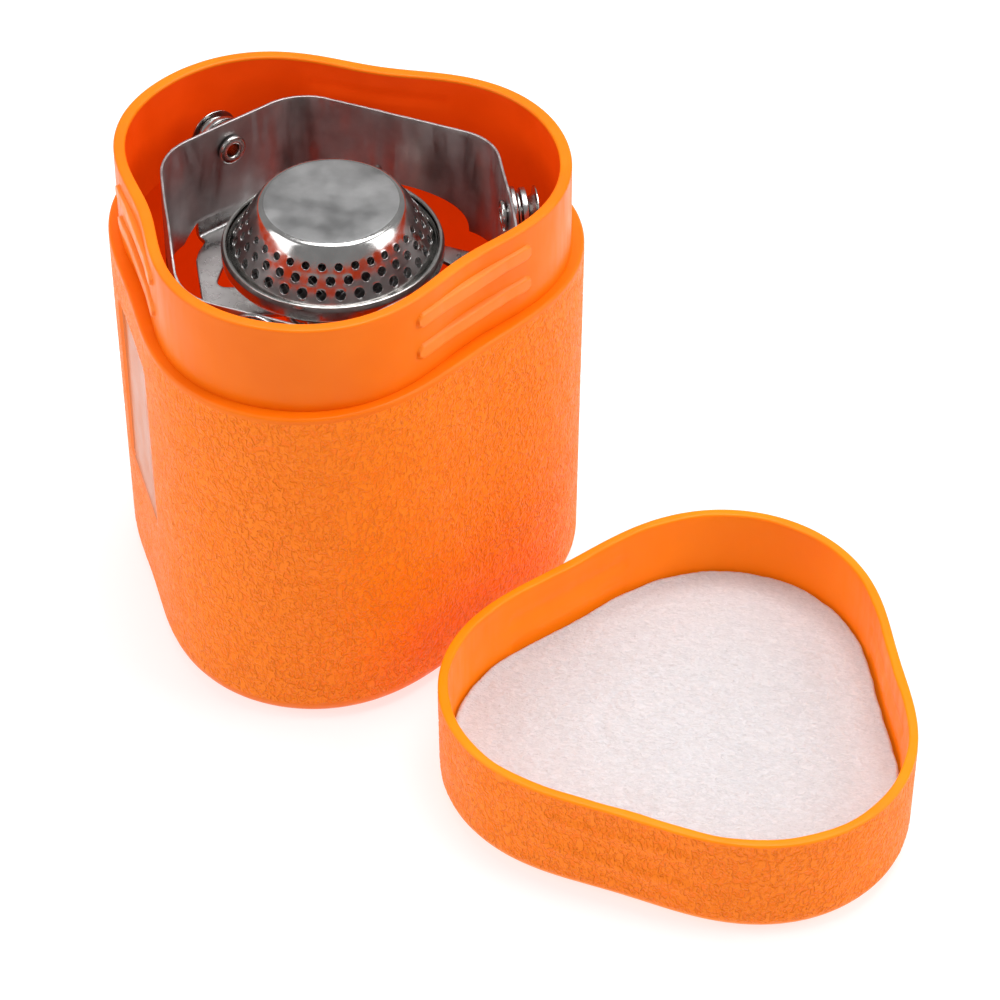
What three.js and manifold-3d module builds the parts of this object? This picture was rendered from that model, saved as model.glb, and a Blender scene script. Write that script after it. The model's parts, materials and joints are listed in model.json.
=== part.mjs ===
// A small folding gas stove stored in its three-lobed plastic case. The lid lies beside
// the case, open side up, with a foam pad in it. Millimetres, +Z up. The origin is the
// centre of the case's base, and one lobe of the case points along -Y.
import * as THREE from 'three'
import Module from 'manifold-3d'
import { mergeVertices } from 'three/addons/utils/BufferGeometryUtils.js'

const wasm = await Module()
wasm.setup()

// ---------------------------------------------------------------- driving dimensions
const GAP = 0.3 // between pieces that touch
const LOBES = 3
const RING_POINTS = 42 // round the case and the lid
const FINE = 24 // segments of the burner
const COARSE = 12 // segments of small turned parts

// plan outlines of the plastic: radius = mean + lobe * cos(3a) + flat * cos(6a)
const BODY_PLAN = { mean: 49.2, lobe: 4.95, flat: -0.25 }
const NECK_PLAN = { mean: 46.0, lobe: 5.75, flat: -0.75 }
const PLASTIC_WALL = 2.2
const NECK_WALL = 2.6
const CASE_HEIGHT = 105.5
const NECK_HEIGHT = 21.2
const BASE_FILLET = 5
const BASE_TAPER = 0.985 // size of the base against the shoulder
const RIB_LENGTH = 33
const RIB_WIDTH = 4
const RIB_REACH = 41.4 // from the case's axis to a rib's outer face
const RIB_DROPS = [5.9, 14] // rib centre lines below the rim
const PANEL = { width: 26, height: 44, middle: 52, reach: 43.2, corner: 2 }

const LID_HEIGHT = 26.1
const LID_X = 88.8
const LID_Y = -46
const LID_TURN = THREE.MathUtils.degToRad(51.4)
const PAD_THICKNESS = 8
const PAD_MARGIN = 1.6 // between the pad's edge and the lid's wall

// the stove stands in the case a little off centre and turned
const STOVE_X = 0.4
const STOVE_Y = -0.8
const STOVE_TURN = THREE.MathUtils.degToRad(-8)
const FIRST_ARM = Math.PI / 6 // directions of the pot arms, from the stove's own +X
const SPINDLE_SIDE = -Math.PI / 2
const IGNITER_SIDE = Math.PI / 2

const COLLAR_RADIUS = 15
const COLLAR_FOOT = PLASTIC_WALL + GAP
const COLLAR_TOP = 21.5
const SOCKET_RADIUS = 5.6 // 7/16 inch canister thread
const VALVE_FOOT = 12.3
const VALVE_TOP = 46
const SPINDLE_Z = 38
const HANDLE_PIVOT = 25.5 // from the stove's axis
const HANDLE_DROP = 17.5 // the loop hangs this far below its pivot
const WIRE_RADIUS = 1

const TUBE_RADIUS = 7.5
const TUBE_WALL = 1.2
const TUBE_TOP = 78.5
const AIR_HOLE_Z = 57
const PLATE_Z = 71
const PLATE_THICKNESS = 1.2
const PLATE_TOP = PLATE_Z + PLATE_THICKNESS

const BURNER_RADIUS = 23.6
const CAP_TOP = 100
const CAP_RADIUS = 14.6
const CAP_SHEET = 0.6
const HOLE_ROWS = [
  { z: 96.2, radius: 0.8, turned: 0 },
  { z: 93.7, radius: 0.95, turned: 0.5 },
  { z: 91.1, radius: 1.1, turned: 0 },
]
const HOLES_PER_ROW = 24

const SHIELD_TOP = 99
const SHIELD_FOOT = PLATE_TOP + GAP
const SHIELD_SHEET = 0.6
const SHIELD_LONG = 34.4 // axis to a long side
const SHIELD_SHORT = 37.3 // axis to a short side
const SHIELD_CORNER = 13
const ARCH = { half: 17.5, top: 78, corner: 4.5 } // in the long sides
const NOTCH = { half: 9.5, foot: 13.5, top: 76.8 } // in the short sides, over the tabs
const RIVET_Z = 92.2
const EAR_SHEET = 1
const ARM_SHEET = 1.2
const ARM_LENGTH = 18.5
const ARM_HALF = 5.6
const RIVET_HOLE = 2.1

// ---------------------------------------------------------------- finishes
const finish = (color, roughness, metalness) => ({ color, roughness, metalness })
const ORANGE = finish(0xf7700e, 0.45, 0)
const FOAM_WHITE = finish(0xf1f2f4, 0.9, 0)
const STEEL = finish(0xb9b5b1, 0.3, 1)
const MATT_STEEL = finish(0x9c9894, 0.45, 1)
const BRASS = finish(0xb8934a, 0.35, 1)
const ALUMINIUM = finish(0xa9abad, 0.4, 1)
const RUBBER = finish(0x1b1b1c, 0.8, 0)
const BLACK_PLASTIC = finish(0x202022, 0.5, 0)
const RED_PLASTIC = finish(0xb3241c, 0.4, 0)
const CERAMIC = finish(0xece8df, 0.35, 0)

// ---------------------------------------------------------------- shape helpers
const polar = (radius, angle, z = 0) =>
  new THREE.Vector3(radius * Math.cos(angle), radius * Math.sin(angle), z)

function planRadius(plan, angle) {
  const fromLobe = angle + Math.PI / 2
  const lobed = plan.lobe * Math.cos(LOBES * fromLobe)
  return plan.mean + lobed + plan.flat * Math.cos(2 * LOBES * fromLobe)
}

// one level of a case-shaped solid
function planRing(plan, z, inset = 0, scale = 1) {
  return Array.from({ length: RING_POINTS }, (_, i) => {
    const angle = (2 * Math.PI * i) / RING_POINTS
    return polar(scale * planRadius(plan, angle) - inset, angle, z)
  })
}

// skin through rings of equal count, closed by a fan at each end
function loft(rings) {
  const count = rings[0].length
  const points = rings.flat()
  const faces = []
  rings.slice(1).forEach((_, level) => {
    for (let i = 0; i < count; i++) {
      const next = (i + 1) % count
      const low = level * count
      const high = low + count
      faces.push(low + i, low + next, high + next, low + i, high + next, high + i)
    }
  })
  const ends = [rings[0], rings[rings.length - 1]]
  ends.forEach((ring, end) => {
    const middle = points.length
    points.push(new THREE.Vector3(0, 0, ring[0].z))
    const start = end * (rings.length - 1) * count
    for (let i = 0; i < count; i++) {
      const next = (i + 1) % count
      faces.push(middle, start + (end ? i : next), start + (end ? next : i))
    }
  })
  const geometry = new THREE.BufferGeometry().setFromPoints(points)
  return geometry.setIndex(faces)
}

// turned part about Z; the profile lists [radius, z] once round, or from axis to axis
function turned(profile, segments = COARSE) {
  const points = profile.map(([radius, z]) => new THREE.Vector2(radius, z))
  const onAxis = profile[0][0] === 0
  if (!onAxis) points.push(points[0].clone())
  return new THREE.LatheGeometry(points, segments).rotateX(Math.PI / 2)
}

const tube = (inner, outer, low, high, segments) =>
  turned([[inner, low], [outer, low], [outer, high], [inner, high]], segments)

const rod = (radius, low, high, segments) =>
  turned([[0, low], [radius, low], [radius, high], [0, high]], segments)

// move a part turned about Z so that it lies along a direction in the plan
const layAlong = (geometry, angle, z = 0) =>
  geometry.rotateY(Math.PI / 2).rotateZ(angle).translate(0, 0, z)

// the outline as points, without the repeated point where a closed path meets itself
function cleanPoints(path, segments) {
  const points = path.getPoints(segments)
  return points.filter((point, i) =>
    point.distanceTo(points[(i + 1) % points.length]) > 1e-4)
}

function extrude(outline, depth, segments) {
  const shape = new THREE.Shape(cleanPoints(outline, segments))
  shape.holes = outline.holes.map((hole) => new THREE.Path(cleanPoints(hole, segments)))
  return new THREE.ExtrudeGeometry(shape, { depth, bevelEnabled: false })
}

// plate drawn in (sideways, up) and standing across a direction, its back at `distance`
function standingPlate(shape, sheet, distance, angle, segments = 6) {
  const upright = extrude(shape, sheet, segments).rotateX(Math.PI / 2).rotateZ(Math.PI / 2)
  return upright.translate(distance, 0, 0).rotateZ(angle)
}

const flatPlate = (shape, sheet, z, segments = 8) =>
  extrude(shape, sheet, segments).translate(0, 0, z)

function roundedBox(width, height, corner) {
  const [x, y] = [width / 2, height / 2]
  const shape = new THREE.Shape()
  shape.absarc(x - corner, y - corner, corner, 0, Math.PI / 2)
  shape.absarc(corner - x, y - corner, corner, Math.PI / 2, Math.PI)
  shape.absarc(corner - x, corner - y, corner, Math.PI, 1.5 * Math.PI)
  shape.absarc(x - corner, corner - y, corner, 1.5 * Math.PI, 2 * Math.PI)
  return shape
}

// hexagon nut with a round bore, standing on Z
function hexNut(bore, corner, low, high) {
  const hexagon = Array.from({ length: 6 }, (_, i) => {
    const p = polar(corner, (Math.PI / 3) * i)
    return new THREE.Vector2(p.x, p.y)
  })
  const shape = new THREE.Shape(hexagon)
  const hole = new THREE.Path()
  hole.absarc(0, 0, bore, 0, 2 * Math.PI)
  shape.holes.push(hole)
  return flatPlate(shape, high - low, low)
}

function sweep(points, radius, steps, sides = 8) {
  const curve = new THREE.CatmullRomCurve3(points, false, 'centripetal')
  const section = new THREE.Shape()
  for (let i = 0; i < sides; i++) {
    const p = polar(radius, (2 * Math.PI * i) / sides)
    if (i) section.lineTo(p.x, p.y)
    else section.moveTo(p.x, p.y)
  }
  return new THREE.ExtrudeGeometry(section, { steps, extrudePath: curve, bevelEnabled: false })
}

// ---------------------------------------------------------------- cutting and joining
function toSolid(geometry) {
  const bare = geometry.clone()
  bare.deleteAttribute('normal')
  bare.deleteAttribute('uv')
  const merged = mergeVertices(bare, 1e-4)
  return new wasm.Manifold(new wasm.Mesh({
    numProp: 3,
    vertProperties: merged.attributes.position.array,
    triVerts: new Uint32Array(merged.index.array),
  }))
}

function fromSolid(solid) {
  const mesh = solid.getMesh()
  const geometry = new THREE.BufferGeometry()
  geometry.setAttribute('position', new THREE.BufferAttribute(mesh.vertProperties, 3))
  return geometry.setIndex(new THREE.BufferAttribute(mesh.triVerts, 1))
}

function carve(base, { add = [], cut = [] }) {
  let solid = toSolid(base)
  for (const geometry of add) solid = solid.add(toSolid(geometry))
  for (const geometry of cut) solid = solid.subtract(toSolid(geometry))
  return fromSolid(solid)
}

// ---------------------------------------------------------------- assembly helpers
const assembly = new THREE.Group()
const stove = new THREE.Group()
stove.position.set(STOVE_X, STOVE_Y, 0)
stove.rotation.z = STOVE_TURN
const lid = new THREE.Group()
lid.position.set(LID_X, LID_Y, 0)
lid.rotation.z = LID_TURN
assembly.add(stove, lid)

function place(group, name, geometry, look) {
  const mesh = new THREE.Mesh(geometry, new THREE.MeshStandardMaterial(look))
  mesh.name = name
  group.add(mesh)
}

const armAngles = Array.from({ length: LOBES }, (_, i) => FIRST_ARM + (2 * Math.PI * i) / LOBES)

// quarter-circle fillet levels, as [z, inset] from the flat face to the wall
const filletLevels = (radius, steps = 3) =>
  Array.from({ length: steps + 1 }, (_, i) => {
    const angle = (Math.PI / 2) * (i / steps)
    return [radius * (1 - Math.sin(angle)), radius * (1 - Math.cos(angle))]
  }).reverse()

// ---------------------------------------------------------------- case, lid and pad
function caseBody() {
  const shoulder = CASE_HEIGHT - NECK_HEIGHT
  const round = 1.4 // on the shoulder's edge
  const lip = 0.5 // chamfer on the rim
  const ledge = shoulder + 0.6 // the ledge rises a little towards its edge
  const innerFillet = BASE_FILLET - PLASTIC_WALL
  const rings = [
    ...filletLevels(BASE_FILLET).map(([z, inset]) => planRing(BODY_PLAN, z, inset, BASE_TAPER)),
    planRing(BODY_PLAN, ledge - round, 0),
    planRing(BODY_PLAN, ledge - 0.4 * round, 0.25 * round),
    planRing(BODY_PLAN, ledge, round),
    planRing(NECK_PLAN, shoulder, 0),
    planRing(NECK_PLAN, CASE_HEIGHT - lip, 0),
    planRing(NECK_PLAN, CASE_HEIGHT, lip),
    planRing(NECK_PLAN, CASE_HEIGHT, NECK_WALL - lip),
    planRing(NECK_PLAN, CASE_HEIGHT - lip, NECK_WALL),
    planRing(NECK_PLAN, shoulder - PLASTIC_WALL, NECK_WALL),
    planRing(BODY_PLAN, shoulder - 2 * PLASTIC_WALL, PLASTIC_WALL),
    planRing(BODY_PLAN, PLASTIC_WALL + innerFillet, PLASTIC_WALL, BASE_TAPER),
    planRing(BODY_PLAN, PLASTIC_WALL, PLASTIC_WALL + innerFillet, BASE_TAPER),
  ]
  const ribs = []
  for (const angle of armAngles) {
    const acrossFlat = angle - Math.PI / LOBES
    for (const drop of RIB_DROPS) {
      const rib = roundedBox(RIB_LENGTH, RIB_WIDTH, 0.45 * RIB_WIDTH)
      const behind = 2.4 // the rib starts inside the wall
      const bar = standingPlate(rib, behind, RIB_REACH - behind, acrossFlat, 3)
      ribs.push(bar.translate(0, 0, CASE_HEIGHT - drop))
    }
  }
  const panel = standingPlate(
    roundedBox(PANEL.width, PANEL.height, PANEL.corner), 5, PANEL.reach,
    SPINDLE_SIDE - Math.PI / LOBES, 3,
  ).translate(0, 0, PANEL.middle)
  return carve(loft(rings), { add: ribs, cut: [panel] })
}

function lidShell() {
  const lip = 0.6
  const innerFillet = BASE_FILLET - PLASTIC_WALL
  return loft([
    ...filletLevels(BASE_FILLET).map(([z, inset]) => planRing(BODY_PLAN, z, inset, BASE_TAPER)),
    planRing(BODY_PLAN, LID_HEIGHT - lip, 0),
    planRing(BODY_PLAN, LID_HEIGHT, lip),
    planRing(BODY_PLAN, LID_HEIGHT, PLASTIC_WALL - lip),
    planRing(BODY_PLAN, LID_HEIGHT - lip, PLASTIC_WALL),
    planRing(BODY_PLAN, PLASTIC_WALL + innerFillet, PLASTIC_WALL, BASE_TAPER),
    planRing(BODY_PLAN, PLASTIC_WALL, PLASTIC_WALL + innerFillet, BASE_TAPER),
  ])
}

function foamPad() {
  const foot = PLASTIC_WALL + GAP
  const edge = PLASTIC_WALL + PAD_MARGIN
  const round = 1.8
  return loft([
    planRing(BODY_PLAN, foot, edge + round, BASE_TAPER),
    planRing(BODY_PLAN, foot + round, edge, BASE_TAPER),
    planRing(BODY_PLAN, foot + PAD_THICKNESS - round, edge, BASE_TAPER),
    planRing(BODY_PLAN, foot + PAD_THICKNESS, edge + round, BASE_TAPER),
  ])
}

place(assembly, 'case_body', caseBody(), ORANGE)
place(lid, 'lid_shell', lidShell(), ORANGE)
place(lid, 'foam_pad', foamPad(), FOAM_WHITE)

// ---------------------------------------------------------------- canister joint and valve
place(stove, 'canister_collar', turned([
  [SOCKET_RADIUS, COLLAR_FOOT],
  [COLLAR_RADIUS - 0.8, COLLAR_FOOT],
  [COLLAR_RADIUS, COLLAR_FOOT + 0.8],
  [COLLAR_RADIUS, COLLAR_TOP - 2.2],
  [COLLAR_RADIUS - 2.2, COLLAR_TOP],
  [8.3, COLLAR_TOP],
  [8.3, VALVE_FOOT - GAP],
  [SOCKET_RADIUS, VALVE_FOOT - GAP],
], 24), ALUMINIUM)
place(stove, 'socket_seal', tube(2, SOCKET_RADIUS - GAP, 9.9, VALVE_FOOT - GAP), RUBBER)
place(stove, 'valve_pin', rod(1.2, 8.4, VALVE_FOOT - GAP, 8), BRASS)

const barrelEnd = 16.5
const boreRadius = 2.6
function valveBody() {
  const core = turned([
    [0, VALVE_FOOT], [8, VALVE_FOOT], [8, 23], [9.5, 24.5], [9.5, VALVE_TOP - 1.5],
    [8, VALVE_TOP], [0, VALVE_TOP],
  ], 24)
  const barrel = layAlong(rod(6.5, 0, barrelEnd), SPINDLE_SIDE, SPINDLE_Z)
  const bore = layAlong(rod(boreRadius, 3, barrelEnd + 1), SPINDLE_SIDE, SPINDLE_Z)
  return carve(core, { add: [barrel], cut: [bore] })
}
place(stove, 'valve_body', valveBody(), BRASS)

const glandFoot = barrelEnd + GAP
const glandEnd = glandFoot + 4.4
place(stove, 'spindle_gland', layAlong(
  hexNut(boreRadius, 7.2, glandFoot, glandEnd), SPINDLE_SIDE, SPINDLE_Z,
), BRASS)

function valveSpindle() {
  const shaft = 2.2
  const groove = 1.4
  const seat = 12 // the seal's groove starts here
  const stem = layAlong(turned([
    [0, 4], [0.8, 5], [shaft, 7], [shaft, seat], [groove, seat], [groove, seat + 1.8],
    [shaft, seat + 1.8], [shaft, glandEnd + GAP], [3.1, glandEnd + 0.8], [3.1, 27.4],
    [2.4, 28.2], [0, 28.2],
  ]), SPINDLE_SIDE, SPINDLE_Z)
  const crossHole = layAlong(rod(WIRE_RADIUS + 0.2, -5, 5, 12), 0, 0)
  crossHole.translate(0, -HANDLE_PIVOT, SPINDLE_Z)
  return carve(stem, { cut: [crossHole] })
}
place(stove, 'valve_spindle', valveSpindle(), STEEL)
place(stove, 'spindle_seal', layAlong(
  tube(1.5, 2.45, 12.2, 13.6), SPINDLE_SIDE, SPINDLE_Z,
), RUBBER)

// wire loop that hangs from the spindle's cross hole, its two ends inside it
function wireHandle() {
  const half = 8.5
  const bend = HANDLE_DROP - half
  const side = [[0.6, 0], [3.2, 0], [5, 0.5], [6.4, 2.4], [half, 6], [half, bend]]
  const at = ([across, down]) => new THREE.Vector3(across, -HANDLE_PIVOT, SPINDLE_Z - down)
  const arcSteps = 8
  const end = Array.from({ length: arcSteps - 1 }, (_, i) => {
    const angle = (Math.PI * (i + 1)) / arcSteps
    return at([half * Math.cos(angle), bend + half * Math.sin(angle)])
  })
  const back = side.map(([across, down]) => at([-across, down])).reverse()
  return sweep([...side.map(at), ...end, ...back], WIRE_RADIUS, 40, 6)
}
place(stove, 'wire_handle', wireHandle(), STEEL)

// ---------------------------------------------------------------- gas path to the burner
place(stove, 'gas_jet', turned([
  [0, VALVE_TOP + GAP], [3.2, VALVE_TOP + GAP], [3.2, 49], [1.6, 52], [0, 52],
], 6), BRASS)

function mixerTube() {
  const bore = TUBE_RADIUS - TUBE_WALL
  const body = turned([
    [bore, VALVE_TOP + GAP], [9.2, VALVE_TOP + GAP], [9.2, 49.5], [TUBE_RADIUS, 51],
    [TUBE_RADIUS, PLATE_Z - 3.3], [10.2, PLATE_Z - 2.6], [10.2, PLATE_Z - GAP],
    [TUBE_RADIUS, PLATE_Z - GAP], [TUBE_RADIUS, TUBE_TOP], [bore, TUBE_TOP],
  ], 24)
  const across = [0, Math.PI / 2].map((angle) =>
    layAlong(rod(2.4, -12, 12, 8), angle + Math.PI / 4, AIR_HOLE_Z))
  return carve(body, { cut: across })
}
place(stove, 'mixer_tube', mixerTube(), MATT_STEEL)
place(stove, 'hub_nut', hexNut(
  TUBE_RADIUS + GAP, 11.4, PLATE_TOP + GAP, PLATE_TOP + 3,
), STEEL)

const flange = BURNER_RADIUS - 1 // reach of the sheets held in the rolled rim
const rimFoot = 86
place(stove, 'burner_bowl', turned([
  [8.2, 76], [9.2, 75.6], [9.6, 77.6], [13, 79], [17.5, 81.6], [20.6, 84.6], [21.2, 86.9],
  [flange, 86.9], [flange, 87.5], [20.6, 87.5], [19.9, 85], [17, 82.3], [12.7, 79.8], [8.2, 78.2],
], FINE), MATT_STEEL)
place(stove, 'flame_screen', rod(flange, 87.8, 88.2, FINE), MATT_STEEL)
place(stove, 'burner_rim', turned([
  [21.7, rimFoot], [23, rimFoot], [BURNER_RADIUS, rimFoot + 0.6], [BURNER_RADIUS, 89.4],
  [23, 90], [22.1, 90], [22.1, 89.4], [22.9, 89.4], [22.9, rimFoot + 0.6], [21.7, rimFoot + 0.6],
], FINE), STEEL)

// steep perforated band under a flat top
const bandFoot = { radius: 21.5, z: 89.1 }
const bandTop = { radius: 16.4, z: 98.2 }
function burnerCap() {
  const sheet = CAP_SHEET
  const cap = turned([
    [0, CAP_TOP], [CAP_RADIUS - 0.6, CAP_TOP], [CAP_RADIUS + 0.9, CAP_TOP - 0.6],
    [bandTop.radius, bandTop.z], [bandFoot.radius, bandFoot.z], [flange, bandFoot.z],
    [flange, bandFoot.z - sheet], [bandFoot.radius - sheet, bandFoot.z - sheet],
    [bandTop.radius - sheet, bandTop.z - 0.3], [CAP_RADIUS, CAP_TOP - 1.2],
    [0, CAP_TOP - 1.2],
  ].reverse(), FINE)
  const slope = (bandFoot.radius - bandTop.radius) / (bandTop.z - bandFoot.z)
  const holes = HOLE_ROWS.flatMap((row) => {
    const radius = bandFoot.radius - slope * (row.z - bandFoot.z)
    return Array.from({ length: HOLES_PER_ROW }, (_, i) => {
      const angle = (2 * Math.PI * (i + row.turned)) / HOLES_PER_ROW
      const punch = rod(row.radius, -1.6, 1.6, 4).rotateY(Math.PI / 2 - Math.atan(slope))
      return punch.translate(radius, 0, row.z).rotateZ(angle)
    })
  })
  return carve(cap, { cut: holes })
}
place(stove, 'burner_cap', burnerCap(), STEEL)

// ---------------------------------------------------------------- windshield and bracket
// hexagon of three long and three short sides, its corners rounded
function shieldOutline(inset) {
  const long = SHIELD_LONG - inset
  const short = SHIELD_SHORT - inset
  const corner = SHIELD_CORNER - inset
  const shape = new THREE.Shape()
  const sixth = Math.PI / 3
  for (let side = 0; side < 2 * LOBES; side++) {
    const [near, far] = side % 2 ? [long, short] : [short, long]
    const angle = FIRST_ARM + side * sixth
    // the corner's circle touches both sides
    const across = (far - corner - (near - corner) * Math.cos(sixth)) / Math.sin(sixth)
    const middle = new THREE.Vector2(near - corner, across)
    middle.rotateAround(new THREE.Vector2(), angle)
    shape.absarc(middle.x, middle.y, corner, angle, angle + sixth)
  }
  return shape
}

function windshield() {
  const ring = shieldOutline(0)
  ring.holes.push(shieldOutline(SHIELD_SHEET))
  const wall = flatPlate(ring, SHIELD_TOP - SHIELD_FOOT, SHIELD_FOOT, 4)
  const arch = new THREE.Shape()
  const shoulder = ARCH.half - 3
  arch.moveTo(-ARCH.half, SHIELD_FOOT - 1)
  arch.lineTo(ARCH.half, SHIELD_FOOT - 1)
  arch.quadraticCurveTo(shoulder, ARCH.top, shoulder - ARCH.corner, ARCH.top)
  arch.lineTo(ARCH.corner - shoulder, ARCH.top)
  arch.quadraticCurveTo(-shoulder, ARCH.top, -ARCH.half, SHIELD_FOOT - 1)
  const arches = armAngles.map((angle) =>
    standingPlate(arch, 4, SHIELD_LONG - 2, angle + Math.PI / LOBES, 4))
  const notch = new THREE.Shape()
  notch.moveTo(-NOTCH.foot, SHIELD_FOOT - 1)
  notch.lineTo(NOTCH.foot, SHIELD_FOOT - 1)
  notch.lineTo(NOTCH.half, NOTCH.top)
  notch.lineTo(-NOTCH.half, NOTCH.top)
  const notches = armAngles.map((angle) => standingPlate(notch, 4, SHIELD_SHORT - 2, angle))
  const eyes = armAngles.map((angle) =>
    layAlong(rod(RIVET_HOLE, 30, 45, 12), angle, RIVET_Z))
  return carve(wall, { cut: [...arches, ...notches, ...eyes] })
}
place(stove, 'windshield', windshield(), STEEL)

const earBack = SHIELD_SHORT + GAP
const earFront = earBack + EAR_SHEET

const onPlan = ([out, across], angle) =>
  new THREE.Vector2(out, across).rotateAround(new THREE.Vector2(), angle)

// closed outline through points of (out, across) from each direction in turn
function trace(outline, stretches) {
  const corners = stretches.flatMap(([points, angle]) => points.map((p) => onPlan(p, angle)))
  corners.forEach((p, i) => (i ? outline.lineTo(p.x, p.y) : outline.moveTo(p.x, p.y)))
  return outline
}

// stamped plate with three tabs, each bent up outside the windshield to a rivet
function spiderBracket() {
  const tabHalf = 9
  const side = [[earFront, tabHalf], [35.2, tabHalf], [33.2, 12.1], [31.1, 14.2]]
  const tab = [...side.map(([out, across]) => [out, -across]).reverse(), ...side]
  const electrodeLug = [[27.9, -5.5], [30.4, -4], [30.4, 4], [27.9, 5.5]]
  const [right, left, front] = armAngles
  const web = trace(new THREE.Shape(), [
    [tab, right], [electrodeLug, IGNITER_SIDE], [tab, left], [tab, front],
  ])
  const ahead = [[29.3, 6.6], [21, 16.4], [14.2, 7.4], [24, 4.4]]
  const behind = [[29.3, -6.6], [12.2, -21.1], [6.3, -8.9], [9.2, -5.4], [24, -4.4]]
  const besideIgniter = [[29.3, -6.6], [14.8, -19.6], [8.9, -7.4], [10.5, -5.4], [24, -4.4]]
  const windows = armAngles.flatMap((angle) => [
    trace(new THREE.Path(), [[ahead, angle]]),
    trace(new THREE.Path(), [[angle === left ? besideIgniter : behind, angle]]),
  ])
  const hub = new THREE.Path()
  hub.absarc(0, 0, TUBE_RADIUS + GAP, 0, 2 * Math.PI)
  web.holes.push(hub, ...windows)
  const screwHole = new THREE.Path()
  screwHole.absarc(0, 15.2, 1.7, 0, 2 * Math.PI)
  const leadHole = new THREE.Path()
  leadHole.absarc(0, 25.3, 2.3, 0, 2 * Math.PI)
  web.holes.push(screwHole, leadHole)

  const ear = new THREE.Shape()
  const round = 6
  ear.moveTo(-tabHalf, PLATE_Z)
  ear.lineTo(tabHalf, PLATE_Z)
  ear.lineTo(tabHalf, PLATE_Z + 5)
  ear.lineTo(round, RIVET_Z - 2)
  ear.absarc(0, RIVET_Z, round, 0, Math.PI)
  ear.lineTo(-round, RIVET_Z - 2)
  ear.lineTo(-tabHalf, PLATE_Z + 5)
  const eye = new THREE.Path()
  eye.absarc(0, RIVET_Z, RIVET_HOLE, 0, 2 * Math.PI)
  ear.holes.push(eye)
  const ears = armAngles.map((angle) => standingPlate(ear, EAR_SHEET, earBack, angle, 4))
  return carve(flatPlate(web, PLATE_THICKNESS, PLATE_Z), { add: ears })
}
place(stove, 'spider_bracket', spiderBracket(), MATT_STEEL)

// ---------------------------------------------------------------- pot arms and their rivets
const washerBack = earFront + GAP
const armBack = washerBack + 0.5 + GAP
const cupBack = armBack + ARM_SHEET + GAP
const headBack = cupBack + 0.4 + GAP
const headRadius = 3.3
const cupRadius = 5.8
const cupDepth = 1.6

// round at the rivet, toothed at the end that holds the pot; it hangs down at rest
function potArm(angle) {
  const shape = new THREE.Shape()
  const teeth = 4
  const pitch = (2 * ARM_HALF - 1) / teeth
  const tip = RIVET_Z - ARM_LENGTH
  shape.absarc(0, RIVET_Z, ARM_HALF, 0, Math.PI)
  for (let i = 0; i < teeth; i++) {
    const left = -ARM_HALF + 0.5 + i * pitch
    shape.lineTo(left, tip)
    shape.lineTo(left + pitch / 2, tip + 1.2)
  }
  shape.lineTo(ARM_HALF - 0.5, tip)
  const eye = new THREE.Path()
  eye.absarc(0, RIVET_Z, RIVET_HOLE, 0, 2 * Math.PI)
  const slot = new THREE.Path()
  slot.absarc(0, RIVET_Z - 12.5, 1.8, Math.PI, 2 * Math.PI)
  slot.absarc(0, RIVET_Z - 8, 1.8, 0, Math.PI)
  shape.holes.push(eye, slot)
  return standingPlate(shape, ARM_SHEET, armBack, angle, 5)
}

// hollow rivet, rolled over at both ends
function rivet(angle) {
  const shank = RIVET_HOLE - GAP
  const hole = 1.2
  const inside = SHIELD_SHORT - SHIELD_SHEET - GAP
  const roll = 0.5
  return layAlong(turned([
    [hole, inside - roll], [headRadius, inside - roll], [headRadius, inside], [shank, inside],
    [shank, headBack], [3, headBack], [3, headBack + roll], [hole, headBack + roll],
  ]), angle, RIVET_Z)
}

armAngles.forEach((angle, i) => {
  const number = i + 1
  const ring = (profile) => layAlong(turned(profile), angle, RIVET_Z)
  place(stove, `pot_arm_${number}`, potArm(angle), MATT_STEEL)
  place(stove, `arm_rivet_${number}`, rivet(angle), STEEL)
  place(stove, `spring_washer_${number}`, ring([
    [RIVET_HOLE, washerBack], [5, washerBack], [5, washerBack + 0.5],
    [RIVET_HOLE, washerBack + 0.5],
  ]), STEEL)
  place(stove, `cup_washer_${number}`, ring([
    [RIVET_HOLE, cupBack], [3.4, cupBack], [4.4, cupBack + cupDepth],
    [cupRadius, cupBack + cupDepth], [cupRadius, cupBack + cupDepth + 0.4],
    [4.1, cupBack + cupDepth + 0.4], [3.3, cupBack + 0.4], [RIVET_HOLE, cupBack + 0.4],
  ]), STEEL)
})

// ---------------------------------------------------------------- piezo igniter
const igniter = { out: 15.2, foot: 45, top: PLATE_Z - GAP, width: 9 }
function igniterBody() {
  const height = igniter.top - igniter.foot
  const block = flatPlate(roundedBox(igniter.width, igniter.width, 1.2), height, igniter.foot, 2)
  const buttonBore = rod(3.5, igniter.foot - 1, igniter.foot + 7, 12)
  const screwBore = rod(1.6, igniter.top - 7, igniter.top + 1, 8)
  return carve(block, { cut: [buttonBore, screwBore] }).translate(0, igniter.out, 0)
}
place(stove, 'igniter_body', igniterBody(), BLACK_PLASTIC)
place(stove, 'igniter_button', turned([
  [0, 38], [3.6, 38], [4.2, 38.6], [4.2, 40.5], [3.2, 40.5], [3.2, 46.5], [0, 46.5],
], 12).translate(0, igniter.out, 0), RED_PLASTIC)
place(stove, 'igniter_screw', turned([
  [0, igniter.top - 6], [1.3, igniter.top - 6], [1.3, PLATE_TOP + GAP], [2.7, PLATE_TOP + GAP],
  [2.2, PLATE_TOP + 1.7], [0, PLATE_TOP + 1.7],
], 12).translate(0, igniter.out, 0), STEEL)

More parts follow.
